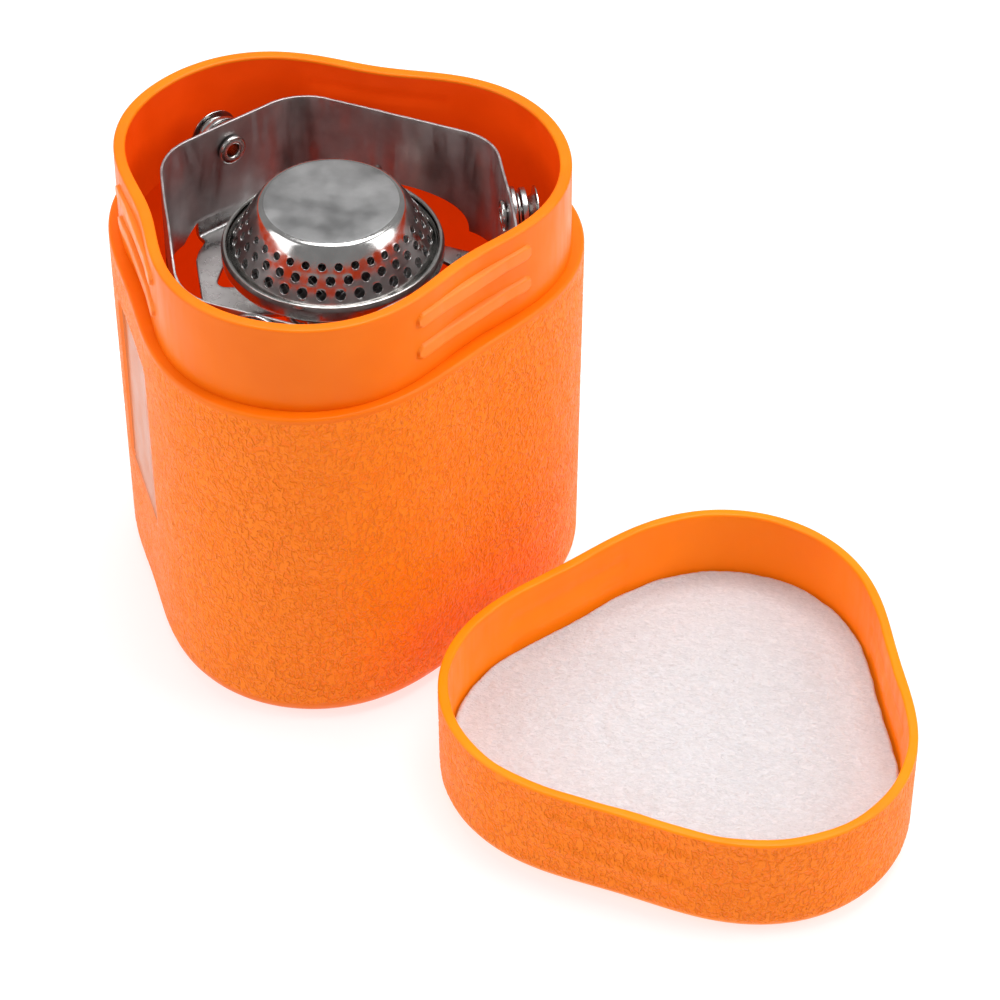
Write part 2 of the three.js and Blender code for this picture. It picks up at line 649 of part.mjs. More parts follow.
const leadOut = 25.3 // the electrode's distance from the stove's axis
const insulatorFoot = 66
const insulatorTop = 84
place(stove, 'electrode_insulator', tube(0.9, 2, insulatorFoot, insulatorTop, 10)
  .translate(0, leadOut, 0), CERAMIC)
place(stove, 'electrode_clip', tube(2.3, 3.9, PLATE_TOP + GAP, PLATE_TOP + 1.1, 10)
  .translate(0, leadOut, 0), STEEL)
place(stove, 'electrode', sweep([
  new THREE.Vector3(0, leadOut, insulatorFoot + 1),
  new THREE.Vector3(0, leadOut, insulatorTop),
  new THREE.Vector3(0, leadOut, 90),
  new THREE.Vector3(0, leadOut - 0.8, 91.6),
  new THREE.Vector3(0, leadOut - 2.6, 92.4),
], 0.55, 10, 6), STEEL)
const igniterFace = igniter.out + igniter.width / 2 + GAP
place(stove, 'igniter_lead', sweep([
  new THREE.Vector3(0, leadOut, insulatorFoot - GAP),
  new THREE.Vector3(0, leadOut + 0.3, 62),
  new THREE.Vector3(0, leadOut + 1.2, 57),
  new THREE.Vector3(0, leadOut + 0.2, 52.6),
  new THREE.Vector3(0, igniterFace + 2, 51),
  new THREE.Vector3(0, igniterFace, 51),
], 0.8, 12, 6), RUBBER)

export default assembly
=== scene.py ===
# Camping stove in its three-lobed plastic case, with the lid and its foam pad beside it.
# Shapes are worked out in millimetres and become metres when a mesh is made.
import json
import math

import bmesh
import bpy
import numpy as np
from mathutils import Matrix, Vector, noise
from mathutils.geometry import delaunay_2d_cdt


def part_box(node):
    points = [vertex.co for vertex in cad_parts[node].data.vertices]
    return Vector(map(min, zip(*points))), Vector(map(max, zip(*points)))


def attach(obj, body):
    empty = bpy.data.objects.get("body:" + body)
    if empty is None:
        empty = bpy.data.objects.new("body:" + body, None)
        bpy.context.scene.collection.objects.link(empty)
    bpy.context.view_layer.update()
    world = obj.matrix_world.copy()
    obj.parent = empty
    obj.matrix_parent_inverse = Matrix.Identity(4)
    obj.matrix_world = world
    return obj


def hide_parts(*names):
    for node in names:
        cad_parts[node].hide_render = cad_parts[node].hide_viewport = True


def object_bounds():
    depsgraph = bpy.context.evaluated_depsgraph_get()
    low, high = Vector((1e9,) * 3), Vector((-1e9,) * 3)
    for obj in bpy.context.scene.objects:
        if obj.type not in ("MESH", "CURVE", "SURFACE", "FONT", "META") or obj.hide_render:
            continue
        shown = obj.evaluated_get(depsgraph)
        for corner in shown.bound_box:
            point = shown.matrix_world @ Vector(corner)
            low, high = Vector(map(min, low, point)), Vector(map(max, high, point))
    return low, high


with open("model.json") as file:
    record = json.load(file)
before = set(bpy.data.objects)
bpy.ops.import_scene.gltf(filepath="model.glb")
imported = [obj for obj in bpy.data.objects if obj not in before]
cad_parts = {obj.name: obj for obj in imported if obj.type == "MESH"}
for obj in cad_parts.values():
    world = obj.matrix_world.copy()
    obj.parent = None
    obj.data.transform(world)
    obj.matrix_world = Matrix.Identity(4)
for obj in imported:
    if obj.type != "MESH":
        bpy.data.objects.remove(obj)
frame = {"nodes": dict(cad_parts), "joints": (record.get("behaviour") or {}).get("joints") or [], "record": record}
cad_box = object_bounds()
noise.seed_set(1)  # without this, noise_vector() would start from the clock

MM = 0.001
TAU = 2 * math.pi
LOBES = 3

# ---------------------------------------------------------------- what the frame says
BODY_OF = {n: body for body, ns in frame["record"]["behaviour"]["bodies"].items() for n in ns}
SLOT_OF = {part["node"]: part["material_slot"] for part in frame["record"]["subparts"]}
JOINT_AXIS = {joint["name"]: joint["axis"] for joint in frame["joints"]}


def span(node):
    """Lowest and highest corners of a CAD node, in millimetres."""
    low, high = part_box(node)
    return low / MM, high / MM


def heading(joint):
    """Direction in plan of a joint's axis."""
    x, y, _ = JOINT_AXIS[joint]
    return math.atan2(y, x)


rim_low, rim_high = span("burner_rim")
ARM_HEADINGS = [heading(f"arm_flip_{i + 1}") for i in range(LOBES)]
STOVE_TURN = ARM_HEADINGS[0] - math.pi / 6
STOVE = Matrix.Translation(((rim_low.x + rim_high.x) / 2, (rim_low.y + rim_high.y) / 2, 0))
STOVE = STOVE @ Matrix.Rotation(STOVE_TURN, 4, "Z")
ARM_ANGLES = [heading_now - STOVE_TURN for heading_now in ARM_HEADINGS]  # in the stove's own plan
SPINDLE_SIDE = -math.pi / 2
IGNITER_SIDE = math.pi / 2

# ---------------------------------------------------------------- the plastic's outline
# plan outlines: radius = mean + lobe * cos(3a) + flat * cos(6a)
BODY_PLAN = (49.2, 4.95, -0.25)
NECK_PLAN = (46.35, 5.15, -0.6)
WALL = 2.2
NECK_WALL = 2.6
BASE_FILLET = 5.0
BASE_TAPER = 0.985
CASE_HEIGHT = span("case_body")[1].z
NECK_HEIGHT = 21.2
SHOULDER = CASE_HEIGHT - NECK_HEIGHT
RIB_HALF = 16.5
RIB_WIDTH = 3.8
RIB_REACH = 41.8
RIB_DROPS = (5.9, 14.0)
RIB_PROUD = 0.7  # least height over the neck
RIB_FLANK = 0.4  # width over which a rib rises
DENT_SHARE = 0.12  # how much of a rib shows as a dent inside the neck
PANEL = dict(half=13.0, low=30.0, high=74.0, reach=43.2, corner=2.0)
LID_HEIGHT = span("lid_shell")[1].z
LID = Matrix.Translation((88.8, -46.0, 0)) @ Matrix.Rotation(math.radians(51.4), 4, "Z")
GRAIN_SIZE = 1.3
GRAIN_DEPTH = 0.16
GRAIN_LEVEL = 0.75  # share of the grain's height that lies on the nominal surface


def plan_radius(angle, to_neck=0.0):
    """Radius of the body's outline, or of the neck's, or between the two."""
    mean, lobe, flat = (b + (n - b) * to_neck for b, n in zip(BODY_PLAN, NECK_PLAN))
    from_lobe = angle + math.pi / 2
    return mean + lobe * np.cos(LOBES * from_lobe) + flat * np.cos(2 * LOBES * from_lobe)


# ---------------------------------------------------------------- outlines and skins
def rounded(points, radius, steps=4):
    """A closed outline with its corners rounded. A point's third value is its own radius."""
    smooth = []
    for i, (x, y, *own) in enumerate(points):
        here = Vector((x, y))
        before = Vector(points[i - 1][:2]) - here
        after = Vector(points[(i + 1) % len(points)][:2]) - here
        reach = own[0] if own else radius
        if reach == 0 or before.length * after.length < 1e-9:
            smooth.append((x, y))
            continue
        half_turn = max(before.angle(after) / 2, 0.05)
        cut = min(reach / math.tan(half_turn), 0.48 * before.length, 0.48 * after.length)
        if cut < 1e-4:
            smooth.append((x, y))
            continue
        first = here + before.normalized() * cut
        last = here + after.normalized() * cut
        for step in range(steps + 1):
            t = step / steps
            p = first * (1 - t) ** 2 + here * 2 * t * (1 - t) + last * t * t
            smooth.append((p.x, p.y))
    return smooth


def arc(middle, radius, start, end, steps):
    """Points of an arc; the angles are in degrees."""
    angles = np.radians(np.linspace(start, end, steps + 1))
    return [(middle[0] + radius * math.cos(a), middle[1] + radius * math.sin(a)) for a in angles]


def circle(middle, radius, steps=40):
    return arc(middle, radius, 0, 360, steps)[:-1]


def grid_faces(rows, columns, wrap_rows):
    """Quads of a grid whose columns close into a ring, and its rows too if asked."""
    row, column = np.meshgrid(np.arange(rows if wrap_rows else rows - 1), np.arange(columns))
    row, column = row.T.ravel(), column.T.ravel()
    next_row = (row + 1) % rows
    next_column = (column + 1) % columns
    corners = [row * columns + column, row * columns + next_column,
               next_row * columns + next_column, next_row * columns + column]
    return np.stack(corners, axis=1)


def turned(profile, edge, segments=96):
    """A closed (radius, height) profile turned about Z, its edges rounded except on the axis."""
    marked = [(r, z, *own) if r else (0, z, 0) for r, z, *own in profile]
    profile = np.array(rounded(marked, edge), float)
    angles = np.arange(segments) * TAU / segments
    x = np.outer(profile[:, 0], np.cos(angles))
    y = np.outer(profile[:, 0], np.sin(angles))
    z = np.repeat(profile[:, 1:2], segments, axis=1)
    points = np.stack([x, y, z], axis=-1).reshape(-1, 3)
    return points, grid_faces(len(profile), segments, True)


def moved(skin, matrix):
    points, faces = skin
    turn = np.array(matrix.to_3x3())
    return np.asarray(points) @ turn.T + np.array(matrix.translation), faces


def joined(*skins):
    """Several closed skins as one."""
    points = np.concatenate([np.asarray(p, float) for p, _ in skins])
    faces = []
    start = 0
    for p, f in skins:
        faces.extend([[v + start for v in face] for face in np.asarray(f, object).tolist()])
        start += len(p)
    return points, faces


def lay_along(skin, angle, height):
    """Turn a part made about Z so that it lies along a direction in plan."""
    turn = Matrix.Rotation(angle, 4, "Z") @ Matrix.Rotation(math.pi / 2, 4, "Y")
    return moved(skin, Matrix.Translation((0, 0, height)) @ turn)


def wound(loop, leftwards):
    """The loop, going round anticlockwise if leftwards and clockwise if not."""
    x, y = np.array(loop).T
    turns_left = np.dot(x, np.roll(y, -1)) > np.dot(y, np.roll(x, -1))
    return loop if turns_left == leftwards else loop[::-1]


def dense(loop, step):
    """The loop's points, with more between them where they are further apart than step."""
    points = []
    for here, there in zip(loop, loop[1:] + loop[:1]):
        count = max(1, math.ceil(math.dist(here, there) / step))
        points += [Vector(here).lerp(Vector(there), k / count) for k in range(count)]
    return np.array(points)


def shrunk(loop, distance):
    """The loop moved to its left, which is into the sheet that it bounds."""
    along = np.roll(loop, -1, axis=0) - np.roll(loop, 1, axis=0)
    along /= np.hypot(*along.T)[:, None]
    return loop + distance * np.stack([-along[:, 1], along[:, 0]], axis=1)


def nearest(points, others):
    """Distance in plan from each point to the nearest of the others."""
    gaps = np.asarray(points)[:, None, :2] - np.asarray(others)[None, :, :2]
    return np.sqrt((gaps ** 2).sum(axis=2).min(axis=1))


def is_inside(points, loop):
    """Whether each point lies inside a closed loop."""
    x, y = points.T
    odd = np.zeros(len(points), bool)
    for (x0, y0), (x1, y1) in zip(loop, np.roll(loop, -1, axis=0)):
        if y0 != y1:
            odd ^= ((y0 > y) != (y1 > y)) & (x < (x1 - x0) * (y - y0) / (y1 - y0) + x0)
    return odd


def even_triangles(loops, spacing):
    """Fill between an outline and its holes with triangles of an even size."""
    bounds = np.concatenate(loops)
    edges = []
    start = 0
    for loop in loops:
        edges += [(start + i, start + (i + 1) % len(loop)) for i in range(len(loop))]
        start += len(loop)
    low, high = bounds.min(axis=0), bounds.max(axis=0)
    x, y = np.meshgrid(np.arange(low[0], high[0], spacing), np.arange(low[1], high[1], spacing))
    x[1::2] += spacing / 2
    inner = np.column_stack([x.ravel(), y.ravel()])
    inner = inner[nearest(inner, bounds) > spacing / 2]
    corners = [Vector(p) for p in np.concatenate([bounds, inner])]
    points, _, faces, *_ = delaunay_2d_cdt(corners, edges, [], 1, 1e-6)
    points, faces = np.array(points), np.array(faces)
    middles = points[faces].mean(axis=1)
    kept = is_inside(middles, loops[0])
    for hole in loops[1:]:
        kept &= ~is_inside(middles, hole)
    used, renumbered = np.unique(faces[kept], return_inverse=True)
    return points[used], renumbered.reshape(-1, 3)


def sheet(outline, holes, thickness, edge, spacing=3.0):
    """Flat sheet over z = 0 with rounded edges and evenly divided faces."""
    loops = [dense(wound(loop, i == 0), spacing) for i, loop in enumerate([outline, *holes])]
    rings = [(edge * (1 - math.sin(a)), edge * (1 - math.cos(a)))
             for a in np.linspace(0, math.pi / 2, 4)]
    rings += [(inset, thickness - height) for inset, height in rings[::-1]]
    skins = []
    for loop in loops:
        levels = [np.column_stack([shrunk(loop, inset), np.full(len(loop), height)])
                  for inset, height in rings]
        skins.append((np.concatenate(levels), grid_faces(len(levels), len(loop), False)))
    flat, triangles = even_triangles([shrunk(loop, edge) for loop in loops], spacing)
    for height in (0, thickness):
        skins.append((np.column_stack([flat, np.full(len(flat), height)]), triangles))
    return joined(*skins)


def stood(skin, distance, angle):
    """Stand a sheet drawn in (across, up) across a direction, its back at a distance."""
    turn = Matrix.Rotation(angle + math.pi / 2, 4, "Z") @ Matrix.Rotation(math.pi / 2, 4, "X")
    out = Matrix.Translation((distance * math.cos(angle), distance * math.sin(angle), 0))
    return moved(skin, out @ turn)


class Track:
    """A path of points in a plane, with a place and a left-hand normal at each distance."""

    def __init__(self, points):
        self.points = np.array(points, float)
        steps = np.diff(self.points, axis=0)
        lengths = np.hypot(*steps.T)
        self.along = np.concatenate([[0], np.cumsum(lengths)])
        direction = np.gradient(self.points, self.along, axis=0)
        direction /= np.hypot(*direction.T)[:, None]
        self.normals = np.stack([-direction[:, 1], direction[:, 0]], axis=1)

    def at(self, distance, offset):
        place = [np.interp(distance, self.along, self.points[:, i]) for i in (0, 1)]
        normal = [np.interp(distance, self.along, self.normals[:, i]) for i in (0, 1)]
        return [place[i] + normal[i] * offset for i in (0, 1)]

    def station(self, angle):
        """Distance along the path of the point that lies in a direction from the centre."""
        angles = np.unwrap(np.arctan2(self.points[:, 1], self.points[:, 0]))
        turns = round((angles.mean() - angle) / TAU)
        return float(np.interp(angle + turns * TAU, angles, self.along))


def wire(points, radius):
    """A round wire along a smooth curve through points."""
    curve = bpy.data.curves.new("wire", "CURVE")
    curve.dimensions = "3D"
    curve.bevel_depth = radius
    curve.bevel_resolution = 5
    curve.use_fill_caps = True
    curve.resolution_u = 10
    spline = curve.splines.new("BEZIER")
    spline.bezier_points.add(len(points) - 1)
    for knot, point in zip(spline.bezier_points, points):
        knot.co = point
        knot.handle_left_type = knot.handle_right_type = "AUTO"
    holder = bpy.data.objects.new("wire", curve)
    mesh = bpy.data.meshes.new_from_object(holder)
    points = np.array([v.co for v in mesh.vertices])
    faces = [list(face.vertices) for face in mesh.polygons]
    bpy.data.objects.remove(holder)
    bpy.data.meshes.remove(mesh)
    bpy.data.curves.remove(curve)
    return points, faces


# ---------------------------------------------------------------- materials
def plain(name, colour, roughness, metallic=0.0, specular=0.5):
    material = bpy.data.materials.new(name)
    material.use_nodes = True
    shader = material.node_tree.nodes["Principled BSDF"]
    shader.inputs["Base Color"].default_value = (*colour, 1)
    shader.inputs["Roughness"].default_value = roughness
    shader.inputs["Metallic"].default_value = metallic
    shader.inputs["Specular IOR Level"].default_value = specular
    return material, material.node_tree, shader


def pattern(tree, size, detail, stretch=(1, 1, 1), distortion=0.0):
    """Noise whose features are about size millimetres across; stretch lengthens them."""
    nodes, links = tree.nodes, tree.links
    coordinates = nodes.new("ShaderNodeTexCoord")
    mapping = nodes.new("ShaderNodeMapping")
    mapping.inputs["Scale"].default_value = [1 / (size * MM * s) for s in stretch]
    texture = nodes.new("ShaderNodeTexNoise")
    texture.inputs["Scale"].default_value = 1.0
    texture.inputs["Detail"].default_value = detail
    texture.inputs["Distortion"].default_value = distortion
    links.new(coordinates.outputs["Object"], mapping.inputs["Vector"])
    links.new(mapping.outputs["Vector"], texture.inputs["Vector"])
    return texture.outputs["Fac"]


def ranged(tree, value, low, high, start=0.35, end=0.65):
    node = tree.nodes.new("ShaderNodeMapRange")
    for socket, number in zip(node.inputs[1:5], (start, end, low, high)):
        socket.default_value = number
    tree.links.new(value, node.inputs[0])
    return node.outputs[0]


def blended(tree, value, first, second):
    """Colour between two, by a value."""
    node = tree.nodes.new("ShaderNodeMix")
    node.data_type = "RGBA"
    tree.links.new(value, node.inputs["Factor"])
    node.inputs["A"].default_value = (*first, 1)
    node.inputs["B"].default_value = (*second, 1)
    return node.outputs["Result"]


def bumped(tree, shader, layers):
    """Bump from (height, depth in millimetres) layers, one on the other."""
    before = None
    for height, depth in layers:
        node = tree.nodes.new("ShaderNodeBump")
        node.inputs["Distance"].default_value = depth * MM
        tree.links.new(height, node.inputs["Height"])
        if before:
            tree.links.new(before, node.inputs["Normal"])
        before = node.outputs["Normal"]
    tree.links.new(before, shader.inputs["Normal"])


def surfaced(tree, shader, tint, colours, wear, roughness):
    """Colour between two by the tint value, and roughness between two by the wear value."""
    tree.links.new(blended(tree, tint, *colours), shader.inputs["Base Color"])
    tree.links.new(ranged(tree, wear, *roughness), shader.inputs["Roughness"])


def glowing(shader, colour, strength):
    """Light of the surface's own: a painted glow that brightens the orange plastic as no lamp does, and the
    floor's even brightness.
    """
    shader.inputs["Emission Color"].default_value = (*colour, 1)
    shader.inputs["Emission Strength"].default_value = strength


def orange_smooth(name, dark, light, specular, painted_glow=0.0):
    """Moulded plastic: cloudy colour, faint upright streaks and slow waves, and an optional painted glow."""
    material, tree, shader = plain(name, light, 0.38, specular=specular)
    # painted glow: emission that brightens the plastic as if more light fell on it
    glowing(shader, (1, 0.28, 0.01), painted_glow)
    cloud = ranged(tree, pattern(tree, 18, 2), 0, 1)
    streaks = pattern(tree, 2.5, 4, stretch=(1, 1, 6))
    surfaced(tree, shader, cloud, (dark, light), streaks, (0.3, 0.46))
    bumped(tree, shader, [(streaks, 0.02), (pattern(tree, 9, 1), 0.25)])
    return material


def orange_grained():
    """Leather grain: squiggly ridges with grooves painted darker as shade, on a slow change of gloss."""
    material, tree, shader = plain("orange_grained", (1.0, 0.2, 0.002), 0.44, specular=0.2)
    # painted glow: a weak orange emission that brightens the grained body
    glowing(shader, (1, 0.2, 0.002), 0.07)
    worms = pattern(tree, 0.9, 0, stretch=(1, 1, 1.5), distortion=1.2)
    ridges = ranged(tree, worms, 0, 1, 0.28, 0.62)
    # painted shade: the grooves are tinted darker than the ridges
    surfaced(tree, shader, ridges, ((0.98, 0.18, 0.001), (1.0, 0.215, 0.002)),
             pattern(tree, 5, 3), (0.38, 0.5))
    bumped(tree, shader, [(ridges, 0.3)])
    return material


def orange_inside_painted_shade():
    """The inside of the case: painted shade, a deeper red than the outside for the dim light deep in the hollow,
    with a painted red glow.
    """
    # painted shade: a darker, redder orange than the same plastic outside
    material, tree, shader = plain("orange_inside_painted_shade", (0.7, 0.06, 0.001), 0.4, specular=0.12)
    # painted glow: red emission that brightens the deep inside where no lamp reaches
    glowing(shader, (1, 0.06, 0.001), 0.28)
    cloud = ranged(tree, pattern(tree, 14, 2), 0, 1)
    surfaced(tree, shader, cloud, ((0.62, 0.05, 0.001), (0.72, 0.065, 0.002)), cloud, (0.36, 0.46))
    bumped(tree, shader, [(pattern(tree, 9, 1), 0.25)])
    return material


def orange_gloss():
    """The smooth panel sunk in the case's side."""
    material, tree, shader = plain("orange_gloss", (0.6, 0.14, 0.02), 0.3, specular=0.1)
    tree.links.new(ranged(tree, pattern(tree, 6, 3), 0.16, 0.26), shader.inputs["Roughness"])
    bumped(tree, shader, [(pattern(tree, 7, 1), 0.05)])
    return material


def foam_white():
    """Pressed foam fibres, with a fine sparkle and some light let through."""
    material, tree, shader = plain("foam_white", (0.6, 0.61, 0.63), 0.75)
    fibres = pattern(tree, 0.8, 5, stretch=(2.2, 1, 1), distortion=1.6)
    sparkle = pattern(tree, 0.5, 3)
    surfaced(tree, shader, ranged(tree, fibres, 0, 1, 0.3, 0.7),
             ((0.5, 0.515, 0.535), (0.62, 0.635, 0.655)), sparkle, (0.35, 0.85))
    shader.inputs["Subsurface Weight"].default_value = 0.35
    shader.inputs["Subsurface Radius"].default_value = (0.004, 0.0035, 0.003)
    shader.inputs["Subsurface Scale"].default_value = 1.0
    bumped(tree, shader, [(fibres, 0.35), (sparkle, 0.12)])
    return material


def steel(name, colour, rough, grain=(1, 1, 1), size=1.2, scratch=0.01, dents=0.0):
    """Rolled steel: brushing along the grain, patches of wear and shallow dents."""
    material, tree, shader = plain(name, colour, rough, metallic=1.0)
    brushing = pattern(tree, size, 4, stretch=grain)
    patches = ranged(tree, pattern(tree, 6, 4), 0, 1)
    darker = tuple(c * 0.8 for c in colour)
    surfaced(tree, shader, patches, (darker, colour), brushing, (rough * 0.75, rough * 1.35))
    layers = [(brushing, scratch)]
    if dents:
        layers.append((pattern(tree, 14, 1), dents))
    bumped(tree, shader, layers)
    return material


def moulded(name, colour, roughness):
    """Small moulded or fired piece: faint clouds in its colour and gloss."""
    material, tree, shader = plain(name, colour, roughness)
    cloud = pattern(tree, 3, 4)
    lighter = tuple(min(1, c * 1.25 + 0.004) for c in colour)
    surfaced(tree, shader, ranged(tree, cloud, 0, 1), (colour, lighter),
             cloud, (roughness * 0.85, roughness * 1.15))
    bumped(tree, shader, [(pattern(tree, 0.5, 2), 0.02)])
    return material


# 0.16 is a painted glow on the smooth orange
SMOOTH = orange_smooth("orange_smooth", (0.97, 0.19, 0.001), (1.0, 0.22, 0.002), 0.15, 0.16)
# painted shade: the neck's own copy of the smooth orange, set darker than the lid's, with no glow
NECK_SMOOTH = orange_smooth("orange_neck", (0.92, 0.165, 0.001), (0.97, 0.19, 0.002), 0.18)
# rib faces: lighter and glossier, partly wear and partly a painted highlight that outlines the ribs
RIB_WEAR_AND_HIGHLIGHT = orange_smooth("orange_rib_wear_and_highlight", (0.98, 0.205, 0.008), (1.0, 0.23, 0.014), 0.3)
# painted shade: the case's inside gets its own darker, redder copy of the orange plastic
INSIDE_PAINTED_SHADE = orange_inside_painted_shade()
GRAINED = orange_grained()
GLOSS = orange_gloss()
MATERIALS = {
    "orange_plastic": SMOOTH,
    "foam": foam_white(),
    "bright_steel": steel("bright_steel", (0.56, 0.55, 0.53), 0.17),
    "matt_steel": steel("matt_steel", (0.46, 0.45, 0.445), 0.28, size=3, scratch=0.004, dents=0.12),
    "brass": steel("brass", (0.66, 0.47, 0.19), 0.28),
    "aluminium": steel("aluminium", (0.55, 0.56, 0.57), 0.34),
    "rubber": moulded("rubber", (0.018, 0.018, 0.018), 0.75),
    "black_plastic": moulded("black_plastic", (0.02, 0.02, 0.022), 0.45),
    "red_plastic": moulded("red_plastic", (0.45, 0.02, 0.015), 0.3),
    "ceramic": moulded("ceramic", (0.82, 0.8, 0.74), 0.22),
}
# painted reflection: the slight red in this grey stands for the orange case reflected in the steel
SHIELD_STEEL = steel("shield_steel", (0.46, 0.43, 0.43), 0.4, grain=(1, 1, 5), size=2.5, scratch=0.003)
CAP_STEEL = steel("cap_steel", (0.54, 0.53, 0.52), 0.16, size=2.0)
CAP_MATT = steel("cap_matt", (0.32, 0.32, 0.32), 0.4, size=9.0, scratch=0.002)


# ---------------------------------------------------------------- making a piece
def make(node, skin, materials=None, sharp=38):
    """The piece that stands for a CAD node: same body, same slot, finer shape."""
    points, faces = skin
    mesh = bpy.data.meshes.new(f"fine_{node}")
    mesh.from_pydata((np.asarray(points) * MM).tolist(), [], np.asarray(faces, object).tolist())
    materials = materials or [MATERIALS[SLOT_OF[node]]]
    for material in materials:
        mesh.materials.append(material)
    bm = bmesh.new()
    bm.from_mesh(mesh)
    bmesh.ops.remove_doubles(bm, verts=bm.verts, dist=1e-7)
    bmesh.ops.recalc_face_normals(bm, faces=bm.faces)
    for face in bm.faces:
        face.smooth = True
    bm.to_mesh(mesh)
    bm.free()
    mesh.set_sharp_from_angle(angle=math.radians(sharp))
    piece = bpy.data.objects.new(f"fine_{node}", mesh)
    bpy.context.scene.collection.objects.link(piece)
    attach(piece, BODY_OF[node])
    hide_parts(node)
    return piece


def make_on_stove(node, skin, materials=None, sharp=38):
    return make(node, moved(skin, STOVE), materials, sharp)


# ---------------------------------------------------------------- case and lid
FLAT_HEADINGS = [math.pi / 2 + TAU * i / LOBES for i in range(LOBES)]
ROUND_POINTS = 640
OUTSIDE, INSIDE, NECK = range(3)  # regions of a shell
SMOOTH_FACE, GRAINED_FACE, PANEL_FACE, PAINTED_SHADE_FACE, RIB_FACE = range(5)  # places in a material list


def smoothstep(value):
    t = np.clip(value, 0, 1)
    return t * t * (3 - 2 * t)


def eased(z, low, rise, high, fall):
    """1 between two heights, easing to 0 over a rise above the low one and a fall below the high."""
    return smoothstep((z - low) / rise) * smoothstep((high - z) / fall)


def grain(points):
    """Height of the leather grain at each point: shallow worm-like grooves."""
    heights = np.empty(len(points))
    for i, point in enumerate(points):
        at = Vector(point) / GRAIN_SIZE
        warp = noise.noise_vector(at * 0.7) * 0.8
        heights[i] = abs(noise.noise(at + warp))
    return np.minimum(heights / 0.28, 1)


def stadium_depth(across, up, half, width):
    """How far inside a bar with round ends each point lies; negative outside."""
    beyond = np.maximum(np.abs(across) - (half - width / 2), 0)
    return width / 2 - np.hypot(beyond, up)


def panel_depth(across, up, half_width, half_height, corner):
    x = np.abs(across) - (half_width - corner)
    y = np.abs(up) - (half_height - corner)
    return corner - np.hypot(np.maximum(x, 0), np.maximum(y, 0)) - np.minimum(np.maximum(x, y), 0)


def taper(z, top):
    low = BASE_FILLET
    return BASE_TAPER + (1 - BASE_TAPER) * np.clip((z - low) / (top - low), 0, 1)


def fillet(radius):
    """Quarter circle from a flat bottom up to a wall, as (z, inset) pairs."""
    angles = np.linspace(0, math.pi / 2, 8)
    return [(radius * (1 - math.cos(a)), radius * (1 - math.sin(a))) for a in angles]


def feet():
    """Levels round the outside of the bottom edge, and round its inside."""
    outer = [(z, inset, 0, OUTSIDE) for z, inset in fillet(BASE_FILLET)]
    inner = [(z + WALL, inset + WALL, 0, INSIDE) for z, inset in fillet(BASE_FILLET - WALL)]
    return outer, inner[::-1]


def lips(top, wall, radius, steps, to_neck, regions):
    """Levels over the rounded top edge of a wall: its outer half, and its inner half."""
    angles = np.linspace(0, math.pi / 2, steps)
    low = top - radius
    outer = [(low + radius * math.sin(a), radius - radius * math.cos(a), to_neck, regions[0])
             for a in angles]
    inner = [(low + radius * math.cos(a), wall - radius + radius * math.sin(a), to_neck, regions[1])
             for a in angles]
    return outer, inner


def filled(levels, step):
    """Levels with more between them where they are further apart than step."""
    out = [levels[0]]
    for level in levels[1:]:
        last = np.array(out[-1][:3])
        this = np.array(level[:3])
        count = max(1, math.ceil(np.hypot(this[0] - last[0], this[1] - last[1]) / step))
        for k in range(1, count + 1):
            out.append((*(last + (this - last) * k / count), level[3]))
    return out


def shell(levels, scale_top, shape):
    """Skin through levels of (z, inset, to_neck, region), moved in and out by shape()."""
    angles = np.arange(ROUND_POINTS) * TAU / ROUND_POINTS
    radii, heights, regions = [], [], []
    for z, inset, to_neck, region in levels:
        radii.append(taper(z, scale_top) * plan_radius(angles, to_neck) - inset)
        heights.append(np.full(ROUND_POINTS, z))
        regions.append(np.full(ROUND_POINTS, region))
    radii, heights, regions = (np.array(a) for a in (radii, heights, regions))
    angle = np.broadcast_to(angles, radii.shape)
    radii, kinds = shape(radii, angle, heights, regions)
    x, y = radii * np.cos(angle), radii * np.sin(angle)
    points = np.stack([x, y, heights], axis=-1).reshape(-1, 3)
    faces = grid_faces(len(levels), ROUND_POINTS, False)
    first, last = np.arange(ROUND_POINTS), np.arange(ROUND_POINTS) + (len(levels) - 1) * ROUND_POINTS
    kind = kinds.reshape(-1)[faces[:, 0]].tolist() + [0, 0]
    return (points, [*faces.tolist(), first[::-1].tolist(), last.tolist()]), kind


def on_flats(radii, angle, headings, move):
    """Let move() shift the distance out from each flat; it gets (out, across)."""
    for facing in headings:
        turn = (angle - facing + math.pi) % TAU - math.pi
        near = np.abs(turn) < math.pi / LOBES
        out = radii * np.cos(turn)
        across = radii * np.sin(turn)
        wanted = move(out, across)
        scaled = radii * wanted / np.where(out > 1, out, 1)
        radii = np.where(near, scaled, radii)
    return radii


def grained(radii, angle, heights, share, shift=(0, 0, 0)):
    """The radii with the leather grain on them, in full where share is 1, and each point's face."""
    points = np.stack([radii * np.cos(angle), radii * np.sin(angle), heights], -1)
    chosen = share > 0.01
    height = np.zeros(radii.shape)
    height[chosen] = (grain(points[chosen] + shift) - GRAIN_LEVEL) * GRAIN_DEPTH
    return radii + height * share, np.where(share > 0.3, GRAINED_FACE, SMOOTH_FACE)


